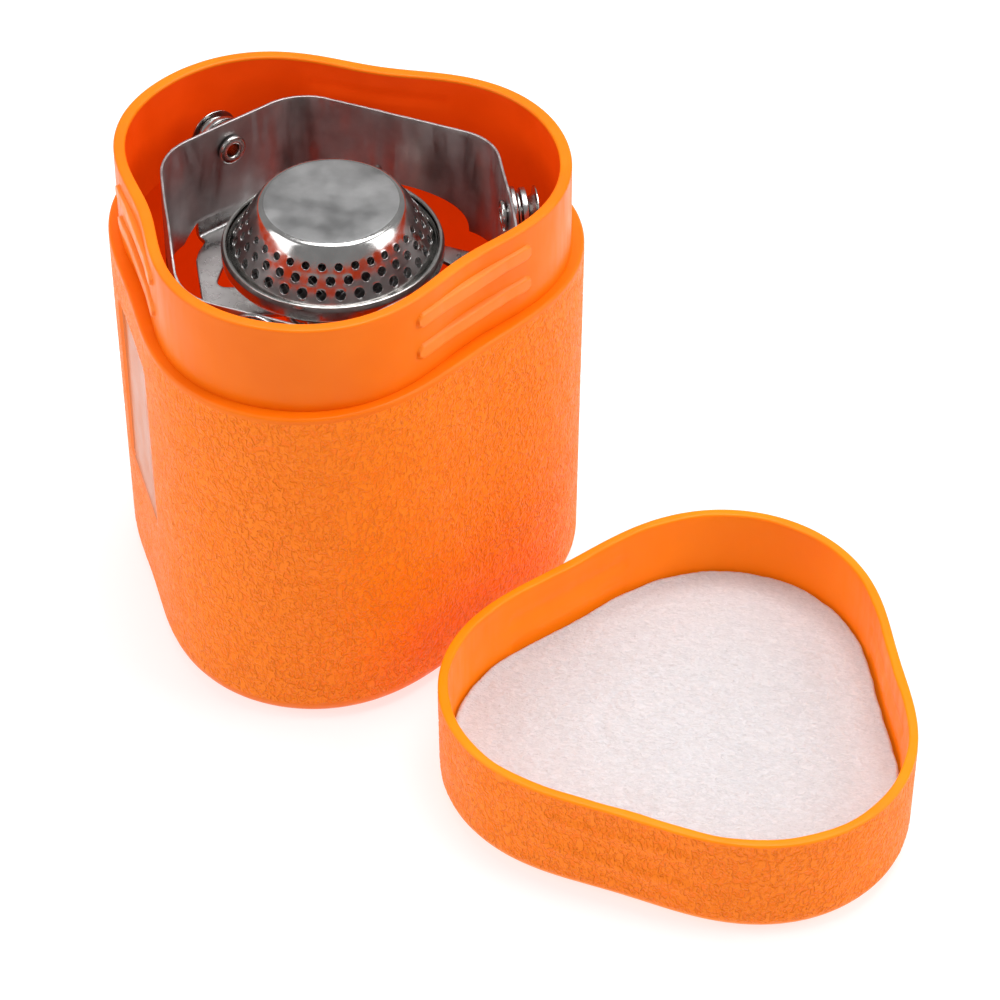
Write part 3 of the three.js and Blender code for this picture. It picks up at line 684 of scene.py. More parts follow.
def case_shape(radii, angle, heights, regions):
    outside, inside, neck = (regions == r for r in (OUTSIDE, INSIDE, NECK))
    panel_middle = (PANEL["low"] + PANEL["high"]) / 2
    panel_half = (PANEL["high"] - PANEL["low"]) / 2
    on_rib = np.zeros(radii.shape, bool)

    def with_ribs(out, across):
        for drop in RIB_DROPS:
            depth = stadium_depth(across, heights - (CASE_HEIGHT - drop), RIB_HALF, RIB_WIDTH)
            np.logical_or(on_rib, (depth > 0.1) & (out > 0) & neck, out=on_rib)
            share = smoothstep(depth / RIB_FLANK) * neck
            share = share + DENT_SHARE * smoothstep(depth / 2) * inside
            out = out + (np.maximum(RIB_REACH, out + RIB_PROUD) - out) * share
        return out

    depth_in_panel = np.full(radii.shape, -9.0)

    def with_panel(out, across):
        depth = panel_depth(across, heights - panel_middle, PANEL["half"], panel_half,
                            PANEL["corner"])
        np.maximum(depth_in_panel, np.where(out > 0, depth, -9.0), out=depth_in_panel,
                   where=np.abs((angle - FLAT_HEADINGS[1] + math.pi) % TAU - math.pi) < 1)
        return out + (PANEL["reach"] - out) * smoothstep(depth / 0.6) * outside

    radii = on_flats(radii, angle, FLAT_HEADINGS, with_ribs)
    radii = on_flats(radii, angle, FLAT_HEADINGS[1:2], with_panel)
    rough = eased(heights, 3, 3, SHOULDER - 0.4, 1.2) * outside
    rough = rough * (1 - smoothstep((depth_in_panel + 0.8) / 0.8))
    radii, kinds = grained(radii, angle, heights, rough)
    kinds = np.where(outside & (depth_in_panel > 0.3), PANEL_FACE, kinds)
    # inside faces take the painted shade material
    kinds = np.where(inside, PAINTED_SHADE_FACE, kinds)
    # rib faces take the wear and painted highlight material
    kinds = np.where(on_rib, RIB_FACE, kinds)
    return radii, kinds


def case_body():
    ledge = SHOULDER + 0.6
    edge = 0.7
    lip = 0.45
    outer_foot, inner_foot = feet()
    shoulder = [(ledge - edge + edge * math.sin(a), edge - edge * math.cos(a), 0, OUTSIDE)
                for a in np.linspace(0, math.pi / 2, 6)]
    rim, rim_in = lips(CASE_HEIGHT, NECK_WALL, lip, 4, 1, (NECK, NECK))
    levels = filled(outer_foot + shoulder[:1], 0.62)
    levels += shoulder[1:]
    levels += filled([(SHOULDER + 0.3, 2.3, 0.6, NECK), (SHOULDER + 0.1, 0.15, 1, NECK),
                      (SHOULDER + 0.5, 0, 1, NECK), rim[0]], 0.3)
    levels += rim[1:]
    levels += filled([rim[-1], rim_in[0]], 0.6)[1:] + rim_in[1:]
    levels += filled([(CASE_HEIGHT - lip - 0.2, NECK_WALL, 1, INSIDE),
                      (SHOULDER - WALL, NECK_WALL, 1, INSIDE)], 1.0)
    levels += filled([(SHOULDER - 2 * WALL, WALL, 0, INSIDE), inner_foot[0]], 6)
    levels += inner_foot[1:]
    skin, kinds = shell(levels, SHOULDER - 0.6, case_shape)
    piece = make("case_body", skin, [NECK_SMOOTH, GRAINED, GLOSS, INSIDE_PAINTED_SHADE, RIB_WEAR_AND_HIGHLIGHT], sharp=55)
    piece.data.polygons.foreach_set("material_index", kinds)
    return piece


def lid_shape(radii, angle, heights, regions):
    outside, inside = regions == OUTSIDE, regions == INSIDE

    def with_bands(out, across):
        for drop in RIB_DROPS:
            # the closed lid's rim stands on the shoulder, so the ribs are this far from its top
            z = LID_HEIGHT - (NECK_HEIGHT - drop)
            depth = stadium_depth(across, heights - z, RIB_HALF + 0.5, RIB_WIDTH + 1)
            out = out + smoothstep(depth / 2) * (0.4 * outside + 0.35 * inside)
        return out

    radii = on_flats(radii, angle, FLAT_HEADINGS, with_bands)
    rough = eased(heights, 2, 3, LID_HEIGHT - 0.7, 0.8) * outside
    radii, kinds = grained(radii, angle, heights, rough, (200, 0, 0))
    wave = 0.08 * np.sin(angle * 11) + 0.06 * np.sin(angle * 23 + 1)
    at_lip = smoothstep((heights - (LID_HEIGHT - 2)) / 2)
    return radii + wave * at_lip * inside, kinds


def lid_shell():
    outer_foot, inner_foot = feet()
    rim, rim_in = lips(LID_HEIGHT, WALL, 0.5, 5, 0, (OUTSIDE, INSIDE))
    levels = filled(outer_foot + rim[:1], 0.55) + rim[1:]
    levels += rim_in + filled([rim_in[-1], inner_foot[0]], 1.2)[1:] + inner_foot[1:]
    skin, kinds = shell(levels, SHOULDER, lid_shape)
    piece = make("lid_shell", moved(skin, LID), [SMOOTH, GRAINED], sharp=55)
    piece.data.polygons.foreach_set("material_index", kinds)
    return piece


def foam_rise(place, inward):
    """How far the foam's face lies above its level, at a share of the way in from its edge."""
    swell = 0.35 * noise.noise(place / 14)
    across_fibres = Vector((place.x / 1.1, place.y / 2.0, 0)) + 0.8 * noise.noise_vector(place / 3)
    fibre = 0.16 * noise.noise(across_fibres)
    fuzz = 0.09 * noise.noise(place / 0.55)
    from_ring = abs(math.hypot(place.x + 2, place.y - 3) - 15)
    pressed = -0.18 * math.exp(-(from_ring / 0.8) ** 2)
    curl = 0.9 * math.exp(-(inward / 0.03) ** 2)
    return swell + fibre + fuzz + pressed + curl - 0.3


def foam_pad():
    """Foam cut to the lid's outline, with a soft uneven edge and a faint ring pressed in it."""
    low, high = span("foam_pad")
    gap = 0.5
    edge = 1.4
    columns = 420
    angles = np.arange(columns) * TAU / columns
    ragged = np.array([noise.noise(Vector((math.cos(a), math.sin(a), 0)) * 9) for a in angles])
    outline = taper(high.z, SHOULDER) * plan_radius(angles) - WALL - gap + 0.25 * ragged
    rings = [(outline - edge, low.z)]
    rings += [(outline - edge * (1 - math.sin(a)), low.z + edge * (1 - math.cos(a)))
              for a in np.linspace(0, math.pi / 2, 6)]
    rings += [(outline - edge * (1 - math.cos(a)), high.z - edge * (1 - math.sin(a)))
              for a in np.linspace(0, math.pi / 2, 8)]
    rings += [((outline - edge) * share, high.z) for share in np.linspace(1, 0.01, 90)[1:]]
    points = np.concatenate([
        np.column_stack([radius * np.cos(angles), radius * np.sin(angles), np.full(columns, z)])
        for radius, z in rings])
    for i, point in enumerate(points):
        if point[2] >= high.z - edge:
            inward = 1 - math.hypot(point[0], point[1]) / outline[i % columns]
            points[i, 2] += foam_rise(Vector(point), inward)
    last = (len(rings) - 1) * columns
    faces = grid_faces(len(rings), columns, False).tolist()
    faces.append(list(range(columns))[::-1])
    faces.append([last + i for i in range(columns)])
    piece = make("foam_pad", moved((points, faces), LID), sharp=180)
    return piece


# ---------------------------------------------------------------- burner
RIM_RADIUS = (rim_high.x - rim_low.x) / 2
CAP_TOP = span("burner_cap")[1].z
BAND_TOP = (16.4, CAP_TOP - 1.8)
BAND_FOOT = (21.5, CAP_TOP - 10.9)
HOLES_PER_ROW = 32
HOLE_ROWS = ((CAP_TOP - 3.8, 0.8), (CAP_TOP - 6.3, 0.95), (CAP_TOP - 8.9, 1.1))
ROW_MARGINS = (1.25, 1.3)  # from the top and the bottom row's middle to the plain sheet
HOLE_LIP = ((0.24, 0.0), (0.1, 0.05), (0.0, -0.02))  # how far beyond the hole, and out of the band
CELL_SIDE = 4  # segments on each side of a hole's cell
FIRST_CORNER = math.radians(135)  # where a cell's edge starts, seen from its middle


def burner_cap():
    """Pressed sheet cap: a ring of cells for each row of holes, each cell round one hole."""
    columns = CELL_SIDE * HOLES_PER_ROW
    slope = (BAND_FOOT[0] - BAND_TOP[0]) / (BAND_TOP[1] - BAND_FOOT[1])
    normal = Vector((1, slope)).normalized()
    points, faces, matt = [], [], []

    def at(radius, z, angle):
        points.append((radius * math.cos(angle), radius * math.sin(angle), z))
        return len(points) - 1

    def ring(radius, z):
        return [at(radius, z, TAU * i / columns) for i in range(columns)]

    def skin_between(upper, lower, is_matt):
        for i in range(columns):
            j = (i + 1) % columns
            faces.append([upper[i], lower[i], lower[j], upper[j]])
            matt.append(is_matt)

    def band(z, out=0.0):
        radius = BAND_FOOT[0] - slope * (z - BAND_FOOT[1])
        return radius + out * normal.x, z + out * normal.y

    crown = [(2.5, CAP_TOP), (7, CAP_TOP), (11, CAP_TOP), (13.4, CAP_TOP), (14.2, CAP_TOP - 0.02)]
    shoulder = [(14.75, CAP_TOP - 0.1), (15.25, CAP_TOP - 0.36), (15.65, CAP_TOP - 0.8)]
    above = ring(*crown[0])
    faces.append(above[:])
    matt.append(1)
    for level, flat in [(c, 1) for c in crown[1:]] + [(c, 0) for c in shoulder]:
        below = ring(*level)
        skin_between(above, below, flat)
        above = below
    heights = [z for z, _ in HOLE_ROWS]
    limits = [heights[0] + ROW_MARGINS[0], *[(a + b) / 2 for a, b in zip(heights, heights[1:])],
              heights[-1] - ROW_MARGINS[1]]
    below = ring(*band(limits[0]))
    skin_between(above, below, 0)
    above = below
    for row, (z, radius) in enumerate(HOLE_ROWS):
        below = ring(*band(limits[row + 1]))
        shift = CELL_SIDE // 2 * (row % 2)
        upright = []
        for k in range(HOLES_PER_ROW):
            column = (CELL_SIDE * k + shift) % columns
            angle = TAU * column / columns
            side = [above[column]]
            for step in range(1, CELL_SIDE):
                level = limits[row] + (limits[row + 1] - limits[row]) * step / CELL_SIDE
                side.append(at(*band(level), angle))
            side.append(below[column])
            upright.append(side)
        for k in range(HOLES_PER_ROW):
            start = CELL_SIDE * k + shift
            left, right = upright[k], upright[(k + 1) % HOLES_PER_ROW]
            top = [above[(start + i) % columns] for i in range(CELL_SIDE + 1)]
            bottom = [below[(start + i) % columns] for i in range(CELL_SIDE + 1)]
            edge = top[:-1] + right[:-1] + bottom[:0:-1] + left[:0:-1]
            middle = TAU * (start + CELL_SIDE / 2) / columns
            previous = edge
            for beyond, lift in HOLE_LIP:
                loop = []
                for i in range(len(edge)):
                    turn = FIRST_CORNER - TAU * i / len(edge)
                    up = (radius + beyond) * math.sin(turn) * normal.x
                    around = (radius + beyond) * math.cos(turn) / band(z)[0]
                    loop.append(at(*band(z + up, lift), middle + around))
                for i in range(len(edge)):
                    j = (i + 1) % len(edge)
                    faces.append([previous[i], previous[j], loop[j], loop[i]])
                    matt.append(0)
                previous = loop
        above = below
    foot = [(BAND_FOOT[0] + 0.1, BAND_FOOT[1] - 0.12), (BAND_FOOT[0] + 0.4, BAND_FOOT[1] - 0.35),
            (RIM_RADIUS - 1.0, BAND_FOOT[1] - 0.35)]
    for level in foot:
        below = ring(*level)
        skin_between(above, below, 0)
        above = below
    piece = make_on_stove("burner_cap", (points, faces), [CAP_STEEL, CAP_MATT], sharp=80)
    piece.data.polygons.foreach_set("material_index", matt)
    thick = piece.modifiers.new("sheet", "SOLIDIFY")
    thick.thickness = 0.45 * MM
    thick.offset = -1
    smooth = piece.modifiers.new("smooth", "SUBSURF")
    smooth.levels = smooth.render_levels = 1
    return piece


def gauze():
    """Wire cloth behind the cap's holes: two families of fine wires that cross."""
    count = 60  # wires in each family
    lean = 0.5  # turn about the axis from a wire's top to its foot
    half = 0.13
    behind = 0.5
    share = np.linspace(0, 1, 10)
    radius = np.linspace(BAND_TOP[0] - 0.3, BAND_FOOT[0] - 1.2, 10)
    z = np.linspace(BAND_TOP[1] - 1, BAND_FOOT[1] + 0.2, 10)
    wires = []
    for side in (-1, 1):
        for k in range(count):
            angle = TAU * k / count + side * lean * share
            rings = []
            for out, across in ((half, 0), (0, half), (-half, 0), (0, -half)):
                reach = radius - behind + side * half + out
                turn = angle + across / radius
                rings.append(np.stack([reach * np.cos(turn), reach * np.sin(turn), z], axis=1))
            points = np.stack(rings, axis=1).reshape(-1, 3)
            last = len(points) - 4
            faces = [*grid_faces(len(share), 4, False).tolist(), [3, 2, 1, 0],
                     [last, last + 1, last + 2, last + 3]]
            wires.append((points, faces))
    return joined(*wires)


def burner():
    burner_cap()
    foot = rim_low.z
    top = rim_high.z
    make_on_stove("burner_rim", turned([
        (21.7, foot), (23.0, foot, 0.5), (RIM_RADIUS, foot + 0.7, 0.6), (RIM_RADIUS, top - 1, 0.7),
        (23.0, top, 0.5), (22.4, top, 0.25), (22.4, top - 0.6), (22.9, top - 0.6),
        (22.9, foot + 0.6), (21.7, foot + 0.6)], 0.15, 144))
    reach = RIM_RADIUS - 1
    make_on_stove("burner_bowl", turned([
        (8.2, 76), (9.2, 75.6, 0.4), (9.6, 77.6, 1), (13, 79, 2), (17.5, 81.6, 3), (20.6, 84.6, 2),
        (21.2, 86.9, 0.6), (reach, 86.9), (reach, 87.5), (20.6, 87.5, 0.6), (19.9, 85, 2),
        (17, 82.3, 3), (12.7, 79.8, 2), (8.2, 78.2, 1)], 0.15, 144))
    disc = turned([(0, 87.8), (reach, 87.8), (reach, 88.2), (0, 88.2)], 0.1, 96)
    make_on_stove("flame_screen", joined(disc, gauze()))


# ---------------------------------------------------------------- windshield
SHIELD_SHEET = 0.6
SHIELD_LONG = 34.4
SHIELD_SHORT = 37.3
SHIELD_CORNER = 13.0
SHIELD_LOW, SHIELD_HIGH = (corner.z for corner in span("windshield"))
ARCH_HALF = 17.0
ARCH_TOP = SHIELD_LOW + 8.2
FULLNESS = 0.8  # 1 makes the arch an ellipse, less makes it squarer
NOTCH_HALF = 9.5
NOTCH_FOOT = 13.5
NOTCH_TOP = SHIELD_LOW + 4.0
RIVET_Z = sum(corner.z for corner in span("arm_rivet_1")) / 2
EYE_RADIUS = 2.1
FRONT_DIP = 1.6  # how much lower the top edge is over the front arm
DIP_HALF = 34.4  # from there to where the dip ends, along the sheet
DIP_EASE = 15.0
DENT_DEPTH = 0.22
DENT_SIZE = (13, 17)  # along the sheet, and up


def shield_track():
    """Middle of the sheet in plan, once round from the seam in a corner beside the front arm."""
    inset = SHIELD_SHEET / 2
    corner = SHIELD_CORNER - inset
    sixth = math.pi / 3
    first = ARM_ANGLES[0] - TAU / LOBES
    steps = 24
    points = []
    for side in range(2 * LOBES):
        near, far = SHIELD_SHORT, SHIELD_LONG
        if side % 2:
            near, far = far, near
        near, far = near - inset - corner, far - inset - corner
        across = (far - near * math.cos(sixth)) / math.sin(sixth)
        facing = first + side * sixth
        middle = Matrix.Rotation(facing, 2) @ Vector((near, across))
        degrees = math.degrees(facing)
        points += arc(middle, corner, degrees, degrees + 60, steps)
    seam = steps // 2
    return Track(points[seam:] + points[:seam + 1])


def windshield():
    track = shield_track()
    length = track.along[-1]
    low, high = SHIELD_LOW, SHIELD_HIGH
    gap = 0.02  # half the seam
    half_circle = arc((0, 0), 1, 180, 0, 24)
    feet = []
    for angle in ARM_ANGLES:
        arch = track.station(angle - math.pi / LOBES)
        notch = track.station(angle)
        feet.append([(arch + math.copysign(ARCH_HALF * abs(x) ** FULLNESS, x),
                      low + (ARCH_TOP - low) * max(y, 0) ** FULLNESS, 0) for x, y in half_circle])
        feet.append([(notch - NOTCH_FOOT, low, 0.8), (notch - NOTCH_HALF, NOTCH_TOP, 2.0),
                     (notch + NOTCH_HALF, NOTCH_TOP, 2.0), (notch + NOTCH_FOOT, low, 0.8)])
    outline = [(length - gap, high, 0.3), (gap, high, 0.3), (gap, low, 0.3)]
    outline += [point for foot in sorted(feet) for point in foot]
    outline.append((length - gap, low, 0.3))
    eyes = [circle((track.station(angle), RIVET_Z), EYE_RADIUS) for angle in ARM_ANGLES]
    points, faces = sheet(rounded(outline, 0.3, 8), eyes, SHIELD_SHEET, 0.15, 1.0)
    long, tall = DENT_SIZE
    dents = np.array([noise.noise(Vector((s / long, z / tall, 0))) for s, z, _ in points])
    from_front = np.abs(points[:, 0] - track.station(ARM_ANGLES[2]))
    above = smoothstep((points[:, 1] - RIVET_Z) / (high - RIVET_Z))
    points[:, 1] -= FRONT_DIP * above * smoothstep((DIP_HALF - from_front) / DIP_EASE)
    x, y = track.at(points[:, 0], SHIELD_SHEET / 2 - points[:, 2] + DENT_DEPTH * dents)
    make_on_stove("windshield", (np.stack([x, y, points[:, 1]], -1), faces), [SHIELD_STEEL])


def eyelet(inside, outside):
    """Hollow rivet along Z, rolled over at both ends."""
    return turned([
        (1.6, inside - 0.95, 0.5), (3.3, inside - 0.95, 0.5), (3.35, inside, 0.4), (1.8, inside, 0.05),
        (1.8, outside, 0.05), (3.0, outside, 0.4), (2.9, outside + 0.6, 0.4),
        (1.5, outside + 0.6, 0.4)], 0.3, 48)


def potarm_sheet(thickness):
    """Pot arm drawn in (across, up): round at the rivet, toothed at its other end."""
    half = 5.6
    tip = RIVET_Z - 18.5
    teeth = 4
    tooth_depth = 1.2
    edge = half - 0.5
    pitch = 2 * edge / teeth
    slot_half = 1.8
    outline = [(x, y, 0) for x, y in arc((0, RIVET_Z), half, 0, 180, 24)]
    for i in range(teeth):
        left = i * pitch - edge
        outline += [(left, tip), (left + pitch / 2, tip + tooth_depth)]
    outline.append((edge, tip))
    slot = arc((0, RIVET_Z - 12.5), slot_half, 180, 360, 12)
    slot += arc((0, RIVET_Z - 8), slot_half, 0, 180, 12)
    return sheet(rounded(outline, 0.3), [circle((0, RIVET_Z), EYE_RADIUS), slot], thickness, 0.15)


def arms():
    for i, angle in enumerate(ARM_ANGLES, 1):
        near, far = reach_of(f"arm_rivet_{i}", angle)
        rivet = lay_along(eyelet(near + 0.5, far - 0.5), angle, RIVET_Z)
        make_on_stove(f"arm_rivet_{i}", rivet)
        near, far = reach_of(f"spring_washer_{i}", angle)
        make_on_stove(f"spring_washer_{i}", lay_along(turned([
            (2.1, near), (5, near), (5, far), (2.1, far)], 0.2, 64), angle, RIVET_Z))
        near, far = reach_of(f"cup_washer_{i}", angle)
        make_on_stove(f"cup_washer_{i}", lay_along(turned([
            (2.1, near), (3.4, near, 0.4), (4.4, far - 0.4, 0.5), (5.8, far - 0.4), (5.8, far),
            (4.1, far, 0.6), (3.3, near + 0.4, 0.4), (2.1, near + 0.4)], 0.15, 64), angle, RIVET_Z))
        near, far = reach_of(f"pot_arm_{i}", angle)
        make_on_stove(f"pot_arm_{i}", stood(potarm_sheet(far - near), near, angle))


TAB_HALF = 9.0
TAB_SHEET = 1.1
TAB_BEND = 1.4  # radius at the middle of the sheet


def spider_bracket():
    """Stamped plate whose three tabs bend up outside the windshield to the rivets."""
    middle_z = span("spider_bracket")[0].z + 0.6
    ear_out = SHIELD_SHORT + 0.8  # middle of the ear's sheet, just clear of the windshield
    flat_end = ear_out - TAB_BEND
    bend = arc((flat_end, middle_z + TAB_BEND), TAB_BEND, -90, 0, 10)
    path = Track([(flat_end - 1, middle_z), (flat_end - 0.1, middle_z), *bend, (ear_out, SHIELD_HIGH)])
    path.along += flat_end - 1  # so that a distance along the path is one from the axis

    def unbent(z):
        """Distance from the axis, in the flat blank, of a height on the upright ear."""
        return flat_end + TAB_BEND * math.pi / 2 + z - middle_z - TAB_BEND

    def on_plan(corners, angle):
        """Corners of (out, across, own radius) from a direction, in the plate's plan."""
        turn = Matrix.Rotation(angle, 2)
        return [(*(turn @ Vector((out, across))), radius) for out, across, radius in corners]

    side = [(31.1, 14.2, 3.0), (33.2, 12.1, 2.5), (35.2, TAB_HALF, 0.8), (flat_end, TAB_HALF, 0.8),
            (unbent(middle_z + 5), TAB_HALF, 2.0), (unbent(RIVET_Z - 2), 6, 2.0)]
    end = [(x, y, 0) for x, y in arc((unbent(RIVET_Z), 0), 6, -90, 90, 20)]
    tab = [*[(x, -y, r) for x, y, r in side], *end, *side[::-1]]
    electrode_lug = [(27.9, -5.5, 1.5), (30.4, -4, 1.5), (30.4, 4, 1.5), (27.9, 5.5, 1.5)]
    right, left, front = ARM_ANGLES
    outline = [*on_plan(tab, right), *on_plan(electrode_lug, IGNITER_SIDE), *on_plan(tab, left),
               *on_plan(tab, front)]
    ahead = [(29.3, 6.6, 1.5), (21, 16.4, 2.5), (14.2, 7.4, 1.5), (24, 4.4, 2)]
    behind = [(29.3, -6.6, 1.5), (12.2, -21.1, 2), (6.3, -8.9, 0.8), (9.2, -5.4, 0.8), (24, -4.4, 2)]
    beside_igniter = [(29.3, -6.6, 1.5), (14.8, -19.6, 2), (8.9, -7.4, 0.8), (10.5, -5.4, 0.8),
                      (24, -4.4, 2)]
    windows = [rounded(on_plan(ahead, angle), 0, 6) for angle in ARM_ANGLES]
    windows += [rounded(on_plan(behind, angle), 0, 6) for angle in (right, front)]
    windows.append(rounded(on_plan(beside_igniter, left), 0, 6))
    eyes = [circle(on_plan([(unbent(RIVET_Z), 0, 0)], angle)[0][:2], EYE_RADIUS)
            for angle in ARM_ANGLES]
    holes = [circle((0, 0), 7.8, 64), circle((0, 15.2), 1.7), circle((0, 25.3), 2.3)]
    points, faces = sheet(rounded(outline, 1.0, 8), [*holes, *windows, *eyes], TAB_SHEET, 0.3, 0.8)
    level = points[:, 2] - TAB_SHEET / 2
    bent = np.column_stack([points[:, :2], middle_z + level])
    for angle in ARM_ANGLES:
        out = points[:, 0] * math.cos(angle) + points[:, 1] * math.sin(angle)
        across = points[:, 1] * math.cos(angle) - points[:, 0] * math.sin(angle)
        on_tab = (out > flat_end) & (np.abs(across) < TAB_HALF + 1)
        radius, z = path.at(out[on_tab], level[on_tab])
        x = radius * math.cos(angle) - across[on_tab] * math.sin(angle)
        y = radius * math.sin(angle) + across[on_tab] * math.cos(angle)
        bent[on_tab] = np.column_stack([x, y, z])
    make_on_stove("spider_bracket", (bent, faces))


# ---------------------------------------------------------------- the rest of the stove
def levels_of(node):
    """Lowest and highest z of a CAD node."""
    low, high = span(node)
    return low.z, high.z


def reach_of(node, angle):
    """Nearest and furthest distance of a CAD node from the stove's axis, along a direction."""
    points = [STOVE.inverted() @ (v.co / MM) for v in frame["nodes"][node].data.vertices]
    along = [p.x * math.cos(angle) + p.y * math.sin(angle) for p in points]
    return min(along), max(along)


def hex_nut(bore, reach, low, high):
    """Six-sided nut along Z, bored through, its corners chamfered at both ends."""
    segments = 96
    angles = np.arange(segments) * TAU / segments
    flat = reach * math.cos(math.pi / 6)
    hexagon = flat / np.cos((angles + math.pi / 6) % (math.pi / 3) - math.pi / 6)
    chamfered = np.minimum(hexagon, flat * 1.02)
    drop = 0.35 * (reach - flat)
    rings = [(np.full(segments, bore), low), (chamfered, low), (hexagon, low + drop),
             (hexagon, high - drop), (chamfered, high), (np.full(segments, bore), high)]
    points = np.concatenate([
        np.column_stack([r * np.cos(angles), r * np.sin(angles), np.full(segments, z)])
        for r, z in rings])
    return points, grid_faces(len(rings), segments, True)


def canister_collar():
    """Knurled collar, its socket cut with the canister's thread."""
    low, high = levels_of("canister_collar")
    radius = reach_of("canister_collar", 0)[1]
    socket = 5.6
    seat = 12.0
    pitch = 0.9
    threads = int((seat - low) / pitch)
    thread = []
    for i in range(threads):
        z = low + 0.5 + i * pitch
        thread += [(socket - 0.05, z, 0.05), (socket + 0.35, z + pitch / 2, 0.05)]
    profile = [*thread[::-1], (socket, low), (radius - 0.8, low, 0.3), (radius, low + 0.8, 0.3),
               (radius, high - 2.2, 0.6), (radius - 2.2, high, 0.5), (8.3, high, 0.3), (8.3, seat),
               (socket, seat)]
    points, faces = turned(profile, 0.15, 288)
    distance = np.hypot(points[:, 0], points[:, 1])
    angle = np.arctan2(points[:, 1], points[:, 0])
    ends = eased(points[:, 2], low + 1, 1.5, high - 3, 1.5)
    groove = 0.4 * ends * (distance > radius - 0.1) * np.cos(angle * 36) ** 2
    points[:, :2] *= (1 - groove / distance)[:, None]
    make_on_stove("canister_collar", (points, faces))


def valve():
    foot, top = levels_of("valve_body")
    spindle_z = sum(levels_of("spindle_gland")) / 2
    gland = reach_of("spindle_gland", SPINDLE_SIDE)
    barrel_end = gland[0] - 0.3
    core = turned([(0, foot), (8, foot, 0.4), (8, 23), (9.5, 24.5), (9.5, top - 1.5), (8, top, 0.4),
                   (0, top)], 0.3)
    barrel = turned([(2.6, 3), (6.5, 3), (6.5, barrel_end, 0.6), (2.6, barrel_end)], 0.3)
    band = turned([(6.4, barrel_end - 4), (7, barrel_end - 4), (7, barrel_end - 2.6),
                   (6.4, barrel_end - 2.6)], 0.2)
    on_side = [lay_along(skin, SPINDLE_SIDE, spindle_z) for skin in (barrel, band)]
    make_on_stove("valve_body", joined(core, *on_side))
    nut = lay_along(hex_nut(2.6, 7.2, *gland), SPINDLE_SIDE, spindle_z)
    make_on_stove("spindle_gland", nut)
    tip = reach_of("valve_spindle", SPINDLE_SIDE)[1]
    stem = turned([(0, 4), (0.8, 5), (2.2, 7), (2.2, 12), (1.4, 12), (1.4, 13.8), (2.2, 13.8),
                   (2.2, gland[1] + 0.3), (3.1, gland[1] + 0.8), (3.1, tip - 0.8, 0.4),
                   (2.4, tip, 0.3), (0, tip)], 0.15, 48)
    make_on_stove("valve_spindle", lay_along(stem, SPINDLE_SIDE, spindle_z))
    seal = turned([(1.5, 12.2), (2.45, 12.2), (2.45, 13.6), (1.5, 13.6)], 0.4, 48)
    make_on_stove("spindle_seal", lay_along(seal, SPINDLE_SIDE, spindle_z))
    low, high = levels_of("socket_seal")
    make_on_stove("socket_seal", turned([(2, low), (5.3, low), (5.3, high), (2, high)], 0.6, 64))
    low, high = levels_of("valve_pin")
    make_on_stove("valve_pin", turned([(0, low), (1.2, low), (1.2, high), (0, high)], 0.3, 32))


def wire_handle():
    """Wire loop that hangs from the spindle's cross hole."""
    near, far = reach_of("wire_handle", SPINDLE_SIDE)
    pivot = (near + far) / 2
    low, high = levels_of("wire_handle")
    wire_radius = (far - near) / 2
    pivot_z = high - wire_radius
    half = 8.5
    bend = pivot_z - wire_radius - low - half
    side = [(0.6, 0), (3.2, 0), (5, 0.5), (6.4, 2.4), (half, 6), (half, bend)]
    end = arc((0, bend), half, 0, 180, 8)[1:-1]
    route = [*side, *end, *[(-across, down) for across, down in side[::-1]]]
    make_on_stove("wire_handle", wire([(x, -pivot, pivot_z - down) for x, down in route], wire_radius))


def mixer_tube():
    """Tube from the jet to the burner, drilled round for air."""
    low, high = levels_of("mixer_tube")
    plate = span("spider_bracket")[0].z
    bore, radius = 6.3, 7.5
    air_foot, air_top, air_z = 51.0, plate - 3.6, 57.0
    foot = turned([(bore, low), (9.2, low), (9.2, 49.5), (radius, air_foot), (bore, air_foot)], 0.3)
    head = turned([(bore, air_top), (radius, air_top), (10.2, plate - 2.6), (10.2, plate - 0.3),
                   (radius, plate - 0.3), (radius, high), (bore, high)], 0.25)
    ring = Track(arc((0, 0), (bore + radius) / 2, 0, 360, 96))
    length = ring.along[-1]
    wall = [(0, air_foot), (length, air_foot), (length, air_top), (0, air_top)]
    holes = [circle(((i + 0.5) * length / 4, air_z), 2.4, 32) for i in range(4)]
    points, faces = sheet(wall, holes, radius - bore, 0.1, 0.8)
    x, y = ring.at(points[:, 0], (radius - bore) / 2 - points[:, 2])
    middle = np.stack([x, y, points[:, 1]], axis=-1), faces
    make_on_stove("mixer_tube", joined(foot, middle, head))


def gas_jet_and_nut():
    low, high = levels_of("gas_jet")
    shoulder = low + 2.7
    tip = turned([(0.3, shoulder - 0.2), (2.4, shoulder - 0.2), (1.5, high), (0.3, high)], 0.2, 48)
    make_on_stove("gas_jet", joined(hex_nut(0.3, 3.2, low, shoulder), tip))
    low, high = levels_of("hub_nut")
    make_on_stove("hub_nut", hex_nut(7.8, reach_of("hub_nut", 0)[1], low, high))


